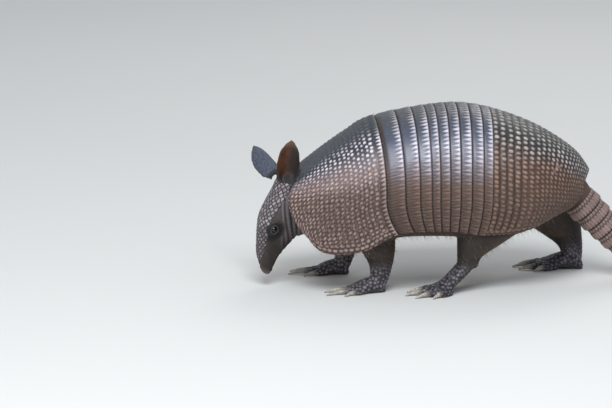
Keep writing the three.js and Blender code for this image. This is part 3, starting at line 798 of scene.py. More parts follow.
def band(number):
    first, last = BAND_EDGES[number - 1], BAND_EDGES[number]
    sheet = ShellSheet(first - PLATE_REACH, last - REAR_GAP, BAND_FACES)
    over, behind = sheet.over, sheet.behind
    shown = (sheet.s - first) * sheet.per_hoop
    width = sheet.along[-1].mean()
    run = sheet.run + BAND_PITCH * noise_of(number, 0, 2.0)
    depth, pale, scute = band_wedges(sheet, number, run)

    lines = scratched_lines(run, LINE_PITCH, 0.8, 0.2) * ramp(over, 0.6, 0.85)
    gaps = scratched_lines(run, BAND_PITCH, 0.5, 0.1) * ramp(behind, 9, 3)
    lines = np.maximum(lines, 0.6 * gaps * ramp(over, 0.85, 0.6))
    height = 0.35 * ramp(depth, -0.3, 0.9) - 0.25 * lines
    height += 0.35 * ramp(behind, 6, 1.5) + rounded_edge(behind, 1.1, 0.9)
    height -= TUCK * ramp(sheet.along, 0.45 * width, 0.1 * width)
    height += rounded_edge(sheet.from_rim, 2.0, 1.1)
    # Painted shadow: the strip just behind the edge of the plate before, and this band's own rear
    # lip, are darkened through the groove number.
    under = ramp(shown, 1.6, 0.5)
    rear_edge_shade = 0.8 * ramp(behind, 0.9, 0.2)
    furrow = ramp(shown, FIRST_FURROW, FIRST_FURROW - 1.5) * (number == 1)
    numbers = {"over": over, "pale": pale, "furrow": furrow, "scute": scute,
               "groove": np.maximum(np.maximum(0.55 * lines, under), rear_edge_shade)}
    horn_piece(f"band_{number}", sheet.raised(height), numbers, band_horn, BAND_WALL)


for number in range(1, 10):
    band(number)

# %% [markdown]
# ## Tubes
#
# Tails, legs, toes and claws are tubes. A tube is a grid too: its last column lies on its first,
# and where an end row has no width all of its points meet. Merging doubles then closes the seam
# and both poles.

# %% Helpers for tubes


def ring_points(centres, directions, half_widths, half_heights, sides):
    """Rows of points round a line; the last point of each row closes it."""
    directions = unit(directions)
    across = unit(np.array([0.0, 1.0, 0.0]) - directions * directions[:, 1:2])
    up = np.cross(directions, across)
    angle = np.linspace(0, 2 * np.pi, sides + 1) - np.pi / 2
    return (centres[:, None]
            + across[:, None] * (half_widths[:, None] * np.cos(angle))[..., None]
            + up[:, None] * (half_heights[:, None] * np.sin(angle))[..., None])


def closed(points):
    """The same rows with a pole at each end."""
    first = np.broadcast_to(points[:1].mean(1, keepdims=True), points[:1].shape)
    last = np.broadcast_to(points[-1:].mean(1, keepdims=True), points[-1:].shape)
    return np.concatenate([first, points, last])


# %% [markdown]
# ## The ringed tail
#
# Each tail ring is two rows of scutes: a short row in front and a long, keeled row behind, which
# overlaps the next ring. The line of the tail is walked in small steps from the hips: straight
# down first, then a bend on to the floor. Towards the tip the rings run out into small scutes.

# %% The line of the tail
TAIL_START = (140.0, 0.0, 105.0)
TAIL_LENGTH = 338
TAIL_ROOT_END = 20.5
FIRST_RING = 16.5
RING_SHORTENING = 0.45
RING_COUNT = 12
TAIL_RADII = (23, 19.3, 9, 2)  # at the root, the first ring, the last ring and the tip
TAIL_SLOPE = 46
TAIL_BEND = (62, 204)
TAIL_SWAY = 16
TAIL_FLAT = 0.5  # how far its underside is flattened by the floor
TAIL_STEP = 1.0


def ring_start(i):
    return TAIL_ROOT_END + i * FIRST_RING - RING_SHORTENING * i * (i - 1) / 2


def tail_radius(l):
    return np.interp(l, [0, TAIL_ROOT_END, ring_start(RING_COUNT), TAIL_LENGTH], TAIL_RADII)


def walk_tail():
    """Distances along the tail, and the point and the direction at each."""
    l = np.arange(0, TAIL_LENGTH + TAIL_STEP, TAIL_STEP)
    bend = ramp(l, *TAIL_BEND)
    pitch = np.radians(TAIL_SLOPE) * (1 - bend)
    heading = np.radians(TAIL_SWAY) * bend * np.cos(1.6 * np.pi * l / TAIL_LENGTH)
    direction = np.stack([np.cos(pitch) * np.cos(heading), np.cos(pitch) * np.sin(heading),
                          -np.sin(pitch)], 1)
    point = np.array(TAIL_START) + np.insert(np.cumsum(direction[:-1] * TAIL_STEP, 0), 0, 0, 0)
    point[:, 2] = np.maximum(point[:, 2], tail_radius(l) - TAIL_FLAT)
    return l, point, direction


TAIL_WALK = walk_tail()


def tail_line(l):
    steps, point, direction = TAIL_WALK
    return [np.stack([np.interp(l, steps, v[:, k]) for k in range(3)], 1)
            for v in (point, direction)]


def tail_sheet(l, radius, sides):
    """Rows of points round the tail's line, laid on the floor where they would sink in."""
    centres, directions = tail_line(l)
    circles = ring_points(centres, directions, np.ones(len(l)), np.ones(len(l)), sides)
    points = centres[:, None] + (circles - centres[:, None]) * radius[..., None]
    points[..., 2] = np.maximum(points[..., 2], 0)
    return points


print("the tail ends at:", TAIL_WALK[1][-1].round(1), "mm")

# %% Twelve rings
TAIL_SCUTE = 4.1
SCUTE_FACES = 5  # faces across a scute
TAIL_OVER = 0.6  # the tail's colour is that of the flanks
RING_FACES = 20
RING_WALL = 2.4
SHORT_ROW = 0.3  # the front row's share of a ring


def tail_ring(i):
    start = ring_start(i)
    reach = ring_start(i + 1) - start
    t = np.r_[-1.5, np.linspace(-1.2, reach - 0.2, RING_FACES)]
    l = start + t
    count = round(2 * np.pi * tail_radius(start) / TAIL_SCUTE)
    sides = count * SCUTE_FACES
    turn = np.linspace(0, 1, sides + 1)[None] * count
    t = t[:, None] + 0 * turn
    short = SHORT_ROW * reach
    in_short = t < short
    column = turn + np.where(in_short, 0.5, 0.0)
    v = (column - np.rint(column)) * 2
    middle = np.where(in_short, short / 2, (short + reach) / 2)
    half = np.where(in_short, short / 2, (reach - short) / 2)
    u = (t - middle) / half
    inside = (np.abs(u) ** 3 + np.abs(v) ** 3) ** (1 / 3)
    # The dark at the ring's front, where it runs under the ring before, is painted shadow; the dark
    # between the scutes is their seam.
    groove = np.maximum(0.55 * ramp(inside, 0.86, 1.05), ramp(t, 1.6, 0.4))
    keel = np.where(in_short, 0, 0.5 * ramp(np.abs(v), 0.6, 0.0) * ramp(u, -1, 0.5))
    height = 0.75 * ramp(inside, 1.02, 0.6) + keel - 0.2
    height += np.where(in_short, -0.9 * (1 - t / short), 0.9 * (t - short) / (reach - short))
    height -= 1.8 * ramp(t, 1.6, -0.8)
    height += rounded_edge(reach - t, 1.4, 1.0)
    numbers = {"over": TAIL_OVER + 0 * height, "pale": ramp(inside, 1.0, 0.72), "groove": groove,
               "scute": noise_of(np.rint(column) % count, in_short + 2.0 * i, 6.0)}
    points = tail_sheet(l, tail_radius(l)[:, None] + height, sides)
    horn_piece(f"tail_ring_{i + 1:02d}", to_row(points), numbers, tail_horn, RING_WALL)


for i in range(RING_COUNT):
    tail_ring(i)

# %% The tip
TIP_AROUND = 14
TIP_ROWS = 190
TIP_ROW = 0.5  # a row of scutes as a share of the radius there


def tail_tip():
    start = ring_start(RING_COUNT)
    rounding = [TAIL_LENGTH - 1.2, TAIL_LENGTH - 0.4]
    l = np.r_[np.linspace(start - 1.5, TAIL_LENGTH - 2.2, TIP_ROWS), rounding]
    radius = tail_radius(l)[:, None]
    turn = np.linspace(0, TIP_AROUND, TIP_AROUND * SCUTE_FACES + 1)[None] + 0 * radius
    row = np.cumsum(np.r_[0, np.diff(l) / (TIP_ROW * radius[1:, 0])])[:, None] + 0 * turn
    wide = 2 * np.pi * radius / TIP_AROUND + 0 * turn
    u, v, border, number = scutes(row, turn * wide, TIP_ROW * radius + 0 * turn, wide, 0, 0.15, 8.0,
                                  around=TIP_AROUND)
    inside = np.hypot(u / (0.3 * radius), v / (0.42 * wide))
    groove = ramp(border / radius, 0.05, 0.0)
    height = radius * (0.035 * ramp(inside, 1.2, 0.3) - 0.02 * groove)
    height[0] -= radius[0] * 0.8
    height[-1] -= radius[-1] * 0.55
    numbers = {"over": TAIL_OVER + 0 * height, "pale": ramp(inside, 1.2, 0.8), "groove": groove,
               "scute": number}
    numbers = {key: np.concatenate([v[:1], v, v[-1:]]) for key, v in numbers.items()}
    points = closed(tail_sheet(l, radius + height, TIP_AROUND * SCUTE_FACES))
    horn_piece("tail_tip", to_row(points), numbers, tail_horn)


tail_tip()

# %% [markdown]
# ## The cap on the head
#
# A plate of long, irregular scutes covers the crown from between the ears almost to the nose. It
# narrows above the eyes, so that they stand clear of it.

# %% The head's cap
CAP_START = -5
CAP_END = 84
CAP_HALF_ANGLES = (60, 53, 44, 54, 58)
CAP_FACES = (180, 100)
CAP_ROW = 6.4
CAP_PITCH = 2.9
CAP_WALL = 1.3
CAP_LIFT = 0.25


def cap_reach(x):
    """How far the cap reaches down each side of the head, as an angle from the crown."""
    t = np.clip((x - CAP_START) / (82 - CAP_START), 0, 1) * (len(CAP_HALF_ANGLES) - 1)
    return np.radians(smooth_through(CAP_HALF_ANGLES, t))


def head_cap():
    rows, columns = CAP_FACES
    x = np.linspace(CAP_START, CAP_END, rows + 1)[:, None]
    taper = np.sqrt(np.clip(1 - np.clip((x - 74) / 11, 0, 1) ** 2, 0.02, 1))
    angle = cap_reach(x) * np.linspace(-1, 1, columns + 1)[None] * taper
    points = head_point(x + 0 * angle, angle, CAP_LIFT)
    run = centred(run_along(points, 1))
    pitch = CAP_PITCH * (1.12 - 0.35 * ramp(x, 30, 80))
    _, _, border, number = scutes(run / pitch, x + 0 * run, pitch + 0 * run, CAP_ROW, 0, 0.35, 12.0)
    from_edge = np.minimum(from_ends(run), x - CAP_START)
    # Towards the forehead the scutes are painted paler, partly as a painted highlight of the sky.
    pale = ramp(border, 0.35, 1.1) * (0.35 + 0.65 * number) * (0.5 + 0.5 * ramp(x, 64, 30))
    height = 0.42 * ramp(border, 0.1, 1.3) + rounded_edge(from_edge, 1.6, 0.9)
    out = unit(head_point(x + 0 * angle, angle, CAP_LIFT + 1) - points)
    points = transformed(head_matrix, points + out * height[..., None])
    numbers = {"over": 0.5 + 0.3 * np.abs(angle), "pale": pale, "scute": number,
               "groove": 0.85 * ramp(border, 0.5, 0.1)}
    horn_piece("head_shield", to_row(points), numbers, cap_horn, CAP_WALL)


head_cap()

# %% [markdown]
# ## One skin
#
# All flesh shares one skin. We make every limb as a smooth tube, throw the tubes together, and let
# a voxel remesh weld them into one surface, as clay would. Under the shell the trunk is only a low
# filler, because nobody sees it. Small forms come afterwards, as moves of the vertices: lids,
# nostrils, the mouth, the folds of the neck and the scutes of the feet.

# %% Trunk, neck and tail root
BELLY_DROP = [3, 2, 4, 13, 15, 13, 10, 6, 3]
CHEST_NOTCH = (-148.0, 0.0, 96.0)
SKIN_BELOW_SHELL = -4.0
FILLER_TOP = 96.0  # how high the hidden middle of the trunk reaches


def trunk_points():
    s = np.linspace(0.0, 8.0, 70)[:, None]
    a = np.linspace(-RIM, RIM, 44)[None]
    over = shell_point(s, a) + shell_normal(s, a) * SKIN_BELOW_SHELL
    hidden = ramp(s, 0.9, 1.8) * ramp(s, 7.2, 6.6)
    over[..., 2] = np.minimum(over[..., 2], 200 + (FILLER_TOP - 200) * hidden)
    angle = np.linspace(0, np.pi, 26)[None, 1:]
    rim = over[:, -1][:, None]
    drop = smooth_through(BELLY_DROP, s)
    under = np.stack([rim[..., 0] + 0 * angle, rim[..., 1] * np.cos(angle),
                      rim[..., 2] - drop * np.sin(angle)], -1)
    rows = np.concatenate([over, under], 1)
    notch = np.broadcast_to(np.array(CHEST_NOTCH), rows[:1].shape)
    rump = np.broadcast_to(rows[-1:].mean(1, keepdims=True), rows[:1].shape)
    return np.concatenate([notch, rows, rump])


NECK_PATH = np.array([[-136, 0, 98], [-147, 0, 101], [-157, 0, 104], [-166, -1, 106]], float)
NECK_HALF_WIDTHS = [33, 31, 28, 23]
NECK_HALF_HEIGHTS = [34, 31, 28, 24]


def neck_points():
    t = np.linspace(0, 3, 16)
    centres = np.stack([smooth_through(NECK_PATH[:, k], t) for k in range(3)], 1)
    return closed(ring_points(centres, np.gradient(centres, axis=0),
                              smooth_through(NECK_HALF_WIDTHS, t),
                              smooth_through(NECK_HALF_HEIGHTS, t), 40))


def tail_root_points():
    l = np.linspace(0, TAIL_ROOT_END + 1, 14)
    centres, directions = tail_line(l)
    radius = tail_radius(l) - 0.8
    return closed(ring_points(centres, directions, radius, radius, 40))


# %% [markdown]
# The head is drawn in its own axes and then turned into place. Under the cap it lies a millimetre
# lower, so that the horn rests in a bed of skin.

# %% Head and throat
CAP_BED = 1.1
THROAT_BAG = ((-156, -1, 78), (13, 18, 23))  # centre, and half sizes


def under_cap(x, angle):
    reach = np.degrees(cap_reach(x))
    inside = ramp(np.abs(np.degrees(angle)), reach + 1, reach - 5)
    return inside * ramp(x, CAP_START, CAP_START + 4) * ramp(x, CAP_END, CAP_END - 5)


def head_points():
    x = np.linspace(HEAD_STATIONS[0, 0], HEAD_STATIONS[-1, 0], 90)[:, None]
    angle = np.linspace(-np.pi, np.pi, 73)[None] + 0 * x
    rows = head_point(x + 0 * angle, angle, -CAP_BED * under_cap(x, angle))
    return transformed(head_matrix, closed(rows))


def throat_points():
    """Loose skin that bunches behind the jaw while the head is down."""
    centre, half = (np.array(v, float) for v in THROAT_BAG)
    t = np.linspace(0.06, np.pi - 0.06, 30)
    centres = centre + np.stack([0 * t, 0 * t, half[2] * np.cos(t)], 1)
    down = np.tile([0.0, 0.0, -1.0], (len(t), 1))
    return closed(ring_points(centres, down, half[1] * np.sin(t), half[0] * np.sin(t), 40))


# %% The ears
EAR_LENGTH = 49
EAR_WIDTH = 34
EAR_BASE_RADIUS = 7.5
EAR_MOUTH_RADIUS = 14.5
EAR_THICKNESS = 3.1
EAR_TAPER = 0.15  # how much thinner the leaf is at its tip
EAR_BACK = 10.5  # how far the back of the leaf stands from the ear's axis
EARS = {
    "left": {"base": (-6, 13, -1.5), "direction": (3, -14, 47), "facing": -105},
    "right": {"base": (-6, -13, 1.5), "direction": (-20, 33, 20), "facing": 110},
}


def ear_matrix(side):
    ear = EARS[side]
    turn = Vector((0, 0, 1)).rotation_difference(Vector(ear["direction"]).normalized())
    spin = Quaternion((0, 0, 1), math.radians(ear["facing"]))
    base = Matrix.Translation(head_matrix @ Vector(ear["base"]))
    return base @ (turn @ spin).to_matrix().to_4x4()


def ear_sheet(along, across):
    """The outer face of the ear in its own axes: a leaf rolled into a tube at its base."""
    opening = ramp(along, -0.06, 0.3)
    radius = EAR_BASE_RADIUS + (EAR_MOUTH_RADIUS - EAR_BASE_RADIUS) * opening
    leaf = np.sqrt(1 - (np.clip(along - 0.38, 0, None) / 0.64) ** 2)
    reach = (2.6 * EAR_BASE_RADIUS + (0.62 * EAR_WIDTH - 2.6 * EAR_BASE_RADIUS) * opening) * leaf
    angle = across * reach / radius
    return radius, angle, EAR_LENGTH * (along - 0.12 * along * across**2)


def ear_points(side):
    """Outer face and inner face of the ear, joined at the edge: a closed leaf."""
    along = np.linspace(-0.06, 1, 40)[:, None]
    turn = np.linspace(0, 2 * np.pi, 65)[None]
    across = np.cos(turn) * np.sqrt(np.clip(1 - np.clip((along - 0.86) / 0.155, 0, 1) ** 2, 0.0, 1))
    radius, angle, height = ear_sheet(along, across)
    through = 0.5 - 0.5 * np.sin(turn) * np.clip(1 - across**2, 0, 1) ** 0.12
    depth = EAR_THICKNESS * (1 - EAR_TAPER * along) * through
    rows = np.stack([radius - (radius - depth) * np.cos(angle) - EAR_BACK,
                     (radius - depth) * np.sin(angle), height + 0 * depth], -1)
    return transformed(ear_matrix(side), closed(rows))


# %% [markdown]
# Legs are stacks of level slices, and a foot is a low pad with toes. Where the floor cuts a pad or
# a toe we clamp it, which gives the small flat soles that the animal rests on.

# %% The sizes of legs and feet
LEG_SLICES = {  # x, distance from the middle, z, half length, half width
    "foreleg_left": (-1, [[-84, 42, 96, 24, 17], [-80, 44, 70, 25, 17], [-74, 45, 50, 20, 15],
                          [-70, 45, 32, 13.5, 12], [-71, 45, 16, 10, 10], [-73, 45, 8, 9, 9]]),
    "foreleg_right": (1, [[-98, 42, 96, 24, 17], [-98, 44, 70, 25, 17], [-98, 45, 50, 20, 15],
                          [-99, 45, 32, 13.5, 12], [-102, 45, 16, 10, 10], [-104, 45, 8, 9, 9]]),
    "hindleg_left": (-1, [[62, 44, 92, 40, 22], [52, 48, 72, 38, 20], [38, 52, 54, 25, 17],
                          [27, 54, 40, 14, 13], [24, 55, 28, 11, 11]]),
    "hindleg_right": (1, [[112, 34, 92, 34, 20], [120, 42, 72, 42, 20], [139, 47, 48, 27, 17],
                          [153, 50, 29, 15, 13], [157, 51, 15, 11, 10.5], [157, 51, 9, 10, 9]]),
}
SOLE_FLAT = 1
# pad: x, half width, height; toe: base x, base y, splay, length, claw length.
FOREFOOT = {
    "ball": 20, "toe_radius": 4.4,
    "pad": [[-9, 4, 6], [-5, 9, 14], [4, 11, 18], [14, 12.5, 16], [23, 12, 12], [27, 9, 9]],
    "toes": [[18, 8, 22, 10, 14], [20, 3.6, 6, 14, 25], [20, -3.6, -6, 14, 24],
             [17, -8.5, -24, 10, 14]],
}
HINDFOOT = {
    "ball": 26, "toe_radius": 4.8,
    "pad": [[-12, 4, 7], [-7, 9, 16], [3, 11, 22], [15, 12.5, 19], [28, 14, 14], [36, 12, 11]],
    "toes": [[22, 11, 30, 12, 12], [28, 7.5, 13, 16, 17], [30, 0, 0, 18, 19],
             [28, -7.5, -13, 16, 17], [20, -11.5, -32, 11, 12]],
}
FEET = {
    "forefoot_left": {"shape": FOREFOOT, "position": (-74, -45), "heading": 188, "lift": 0},
    "forefoot_right": {"shape": FOREFOOT, "position": (-105, 45), "heading": 172, "lift": 0},
    "hindfoot_left": {"shape": HINDFOOT, "position": (20, -56), "heading": 192, "lift": 18},
    "hindfoot_right": {"shape": HINDFOOT, "position": (157, 51), "heading": 172, "lift": 0},
}


# %% Points of a leg and a pad


def leg_points(name):
    side, slices = LEG_SLICES[name]
    slices = np.array(slices, float)
    t = np.linspace(0, len(slices) - 1, 40)
    x, out, z, half_length, half_width = (smooth_through(slices[:, k], t) for k in range(5))
    centres = np.stack([x, side * out, z], 1)
    up = np.tile([0.0, 0.0, 1.0], (len(t), 1))
    return closed(ring_points(centres, up, half_width, half_length, 36))


def foot_matrix(name):
    foot = FEET[name]
    return (Matrix.Translation((*foot["position"], 0))
            @ Matrix.Rotation(math.radians(foot["heading"]), 4, "Z"))


def pad_points(name):
    foot = FEET[name]
    ball = foot["shape"]["ball"]
    pad = np.array(foot["shape"]["pad"], float)
    t = np.linspace(0, len(pad) - 1, 26)
    x, half, height = (smooth_through(pad[:, k], t) for k in range(3))
    lift = foot["lift"] * np.clip((ball - x) / ball, 0, None) ** 1.3
    centres = np.stack([x, 0 * x, height / 2 - SOLE_FLAT + lift], 1)
    forward = np.tile([1.0, 0.0, 0.0], (len(t), 1))
    rows = ring_points(centres, forward, half, height / 2, 32)
    return transformed(foot_matrix(name), closed(rows))


# %% Toes


def toe_matrix(name, toe):
    x, y, splay = toe[:3]
    return (foot_matrix(name) @ Matrix.Translation((x, y, 0))
            @ Matrix.Rotation(math.radians(splay), 4, "Z"))


def toe_points(name, toe):
    """A toe along its own x, swollen at the knuckle, rounded where the claw comes out."""
    length = toe[3]
    radius = FEET[name]["shape"]["toe_radius"]
    u = np.r_[-0.4, np.linspace(-0.3, 1.0, 18), 1.12]
    swell = 1 + 0.14 * np.sin(np.pi * np.clip(u, 0, 1)) - 0.28 * np.clip(u - 0.75, 0, None)
    swell *= np.sqrt(np.clip(1 - np.clip((u - 0.86) / 0.3, 0, 1) ** 2, 0.05, 1))
    centres = np.stack([u * length, 0 * u, radius - SOLE_FLAT - 0.6 * np.clip(u, 0, 1)], 1)
    forward = np.tile([1.0, 0.0, 0.0], (len(u), 1))
    rows = ring_points(centres, forward, radius * swell, radius * swell, 20)
    return transformed(toe_matrix(name, toe), closed(rows))


print("toes:", sum(len(foot["shape"]["toes"]) for foot in FEET.values()))


# %% Weld the tubes into one skin
SKIN_VOXEL = 1.3 * MM
SNAP_REACH = 0.9 * MM


def surface_tree(mesh):
    """A mesh as a tree that finds the nearest point of its surface. The mesh itself goes."""
    corners = [face.vertices[:] for face in mesh.polygons]
    tree = BVHTree.FromPolygons([v.co for v in mesh.vertices], corners)
    bpy.data.meshes.remove(mesh)
    return tree


def welded(parts, voxel):
    """One closed surface round all of the parts."""
    bm = bmesh.new()
    for number, points in enumerate(parts):
        points = points.copy()
        points[..., 2] = np.maximum(points[..., 2], 0)
        part = sheet_to_mesh(f"part_{number}", to_row(points))
        bm.from_mesh(part)
        bpy.data.meshes.remove(part)
    clay = mesh_from(bm, "clay")
    lump = add_object("clay", clay)
    remesh = lump.modifiers.new("weld", "REMESH")
    remesh.mode = "VOXEL"
    remesh.voxel_size = voxel
    skin = applied(lump)
    # The voxels round everything off, so each point goes back on to the tube that it is near.
    tree = surface_tree(clay)
    points = read_points(skin)
    for i, point in enumerate(points):
        nearest = tree.find_nearest(point, SNAP_REACH)[0]
        if nearest:
            points[i] = nearest
    write_points(skin, points)
    return skin


tubes = [trunk_points(), neck_points(), tail_root_points(), head_points(), throat_points()]
tubes += [ear_points(side) for side in EARS]
tubes += [leg_points(name) for name in LEG_SLICES]
for name, foot in FEET.items():
    tubes.append(pad_points(name))
    tubes += [toe_points(name, toe) for toe in foot["shape"]["toes"]]
skin_mesh = welded(tubes, SKIN_VOXEL)
print(len(tubes), "tubes welded:", len(skin_mesh.polygons), "faces")

# %% [markdown]
# Where a limb runs up under the shell it has to stay inside it. We push any point that is outside
# back on to a dome just below the plates. What the plates hide is then thinned out, so that the
# fine mesh goes where it can be seen.

# %% Tuck the skin under the shell, and thin out what is hidden
HIDDEN_ABOVE_RIM = 4.5
HIDDEN_X = (-145.0, 130.0)
HIDDEN_KEPT = 0.04
SHELL_X = (-165.0, 160.0)
SHELL_CORE = 100.0  # height of a line inside the shell that every part of it faces away from
EAR_BEFORE, EAR_ABOVE = -138, 112  # the ears lie in front of this x and above this z


def dome_tree(offset):
    s = np.linspace(0, 8, 161)[:, None]
    a = np.linspace(-RIM, RIM, 121)[None]
    return surface_tree(sheet_to_mesh("dome", shell_point(s, a) + shell_normal(s, a) * offset))


def rim_height(x):
    return np.interp(x, HOOPS[:, 5], HOOPS[:, 7])


def tuck_under_shell(mesh):
    points = own_points(mesh)
    tree = dome_tree(SKIN_BELOW_SHELL)
    ear = (points[:, 0] < EAR_BEFORE) & (points[:, 2] > EAR_ABOVE)
    for i in np.flatnonzero((points[:, 2] > rim_height(points[:, 0]) + 0.5) & ~ear):
        p = Vector(points[i])
        nearest = tree.find_nearest(p)[0]
        centre = Vector((p.x, 0, SHELL_CORE))
        outside = (p - nearest).dot(nearest - centre) > 0
        if outside and nearest.z > rim_height(nearest.x) + 0.4 and SHELL_X[0] < p.x < SHELL_X[1]:
            points[i] = nearest
    write_points(mesh, to_row(points))


def thin_out(mesh):
    points = own_points(mesh)
    x, z = points[:, 0], points[:, 2]
    hidden = (x > HIDDEN_X[0]) & (x < HIDDEN_X[1]) & (z > rim_height(x) + HIDDEN_ABOVE_RIM)
    body = add_object("thin", mesh)
    group = body.vertex_groups.new(name="hidden")
    group.add([int(i) for i in np.flatnonzero(hidden)], 1.0, "REPLACE")
    decimate = body.modifiers.new("thin", "DECIMATE")
    decimate.vertex_group = "hidden"
    decimate.ratio = 1 - hidden.mean() * (1 - HIDDEN_KEPT)
    made = applied(body)
    bpy.data.meshes.remove(mesh)
    made.name = "skin"
    return made


tuck_under_shell(skin_mesh)
skin_mesh = thin_out(skin_mesh)


def triangles(mesh):
    return sum(len(face.vertices) - 2 for face in mesh.polygons)


print("thinned skin:", triangles(skin_mesh), "triangles")

# %% [markdown]
# A remeshed surface is slightly stepped. A few rounds of smoothing take the steps out. Round the
# eyes we then cut the faces twice, so that there is enough clay for the lids.

# %% Smooth, and refine round the eyes and nose
SMOOTH_ROUNDS = 4
EAR_ROUNDS = 14
EYE_PATCH = 10.0
NOSE_PATCH = 12.0
NOSE_TIP = (97, 0, -2)


def refine(bm, centre, reach):
    """Cuts every face near a point in four."""
    edges = [e for e in bm.edges if all((v.co - centre).length < reach * MM for v in e.verts)]
    bmesh.ops.subdivide_edges(bm, edges=edges, cuts=1, use_grid_fill=True, smooth=0.0)


def in_head(point):
    """From the head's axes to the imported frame."""
    return Vector(to_row(head_matrix @ Vector(point)))


def smooth(bm, verts, rounds):
    for _ in range(rounds):
        bmesh.ops.smooth_vert(bm, verts=verts, factor=0.5, use_axis_x=True, use_axis_y=True,
                              use_axis_z=True)


bm = bmesh.new()
bm.from_mesh(skin_mesh)
smooth(bm, bm.verts, SMOOTH_ROUNDS)
ear_front, ear_low = (Vector(to_row((EAR_BEFORE, 0, EAR_ABOVE)))[k] for k in (0, 2))
smooth(bm, [v for v in bm.verts if v.co.x < ear_front and v.co.z > ear_low], EAR_ROUNDS)
for side in (1, -1):
    refine(bm, in_head(eye_centre(side)), EYE_PATCH)
    refine(bm, in_head(eye_centre(side)), EYE_PATCH * 0.75)
refine(bm, in_head(NOSE_TIP), NOSE_PATCH)
bmesh.ops.triangulate(bm, faces=[f for f in bm.faces if len(f.verts) > 4])
bm.normal_update()
bm.to_mesh(skin_mesh)
bm.free()
print("skin to sculpt:", triangles(skin_mesh), "triangles")

# %% [markdown]
# ## Sculpting by rule
#
# Each form is a small hill or groove: a distance from something, put through a bell curve, moved
# along the surface's normal. Working in the head's own axes keeps left and right alike. The same
# masks are stored for the material, so that colour and form agree.

# %% Masks over the skin


def bell(distance, width):
    return np.exp(-(distance / width) ** 2)


def vertex_normals(mesh):
    normals = np.empty(len(mesh.vertices) * 3)
    mesh.vertex_normals.foreach_get("vector", normals)
    return normals.reshape(-1, 3)


def wave(p, scale, seed):
    """A smooth irregular field, about -1 to 1, for breaking up anything regular."""
    rolls = np.random.default_rng(seed).normal(size=(6, 3))
    phases = np.random.default_rng(seed + 1).uniform(0, 6.3, 6)
    return sum(np.sin(p @ r * scale + t) for r, t in zip(rolls, phases)) / 3


skin_own = own_points(skin_mesh)
skin_normals = vertex_normals(skin_mesh)
in_head_axes = transformed(head_matrix.inverted(), skin_own)
normals_in_head = transformed(head_matrix.inverted().to_3x3().to_4x4(), skin_normals)
head_x, head_y, head_z = in_head_axes.T
own_x, _, own_z = skin_own.T

# %% Masks of the ears
EAR_REACH = 24.0  # no point of an ear is further from its axis


def ear_masks(points):
    """All of the leaf, its inner face, height, front half and foot, as numbers from 0 to 1."""
    names = ("ear", "ear_inside", "ear_up", "ear_front", "ear_foot")
    leaf, inside, height, front, foot = (np.zeros(len(points)) for _ in names)
    in_axes = {side: transformed(ear_matrix(side).inverted(), points) for side in EARS}
    away = {side: np.hypot(q[:, 0], q[:, 1]) for side, q in in_axes.items()}
    for side, other, forward in (("left", "right", -1), ("right", "left", 1)):
        x, y, z = in_axes[side].T
        up = np.clip(z / EAR_LENGTH, 0, 1)
        radius = ear_sheet(up, 0.0)[0]
        from_roll = np.hypot(radius - x - EAR_BACK, y)
        thick = EAR_THICKNESS * (1 - EAR_TAPER * up)
        on_leaf = np.abs(from_roll - radius + 0.5 * thick) < 0.5 * thick + 2.0
        near = on_leaf & (away[side] < away[other]) & (away[side] < EAR_REACH) & (z > -4)
        near &= (x < radius - EAR_BACK) | (z > 0.3 * EAR_LENGTH)
        inner = ramp(from_roll, radius - 0.35 * thick, radius - 0.65 * thick)
        leaf = np.maximum(leaf, near * ramp(z, -1, 5))
        inside = np.where(near & (z > 2), inner, inside)
        height = np.where(near, up, height)
        front = np.where(near, 0.5 + 0.5 * forward * y / EAR_MOUTH_RADIUS, front)
        foot = np.maximum(foot, ramp(away[side], 19, 11) * ramp(np.abs(z), 11, 4))
    return dict(zip(names, (leaf, inside, height, front, foot)))


masks = ear_masks(skin_own)
ear_mask = masks["ear"]
print("points on the ears:", int((ear_mask > 0.5).sum()))

# %% Masks of the head, feet and belly
head_mask = ramp(head_x, -14, -4) * (own_z < 140) * ramp(own_x, -146, -156)
foot_mask = ramp(own_z, 40, 22) * (head_mask < 0.1) * (own_x < 190)
facing_down = ramp(skin_normals[:, 2], 0.1, -0.6)
masks["head"] = head_mask
masks["foot"] = foot_mask
masks["belly"] = (1 - head_mask) * (1 - ear_mask) * facing_down * (own_z > 40)
masks["tail_root"] = ramp(own_x, 148, 156) * ramp(own_z, 66, 76)
masks["snout"] = head_mask * ramp(head_x, 52, 66) * ramp(head_z, 12, 4)
print("share of the skin on the head:", round(float(head_mask.mean()), 2))

# %% The lids
EYE_OPENING = 3.15
LID_OVER_EYE = 0.35
EYE_TILT = 12
SOCKET_DEPTH = 2.6  # how far the skin lies behind the ball's face
# Distance from the eye's middle, width and height.
EYE_CREASES = ((4.3, 0.75, 0.75), (5.7, 0.55, -0.6), (7.0, 0.8, 0.35), (8.5, 0.6, -0.3))


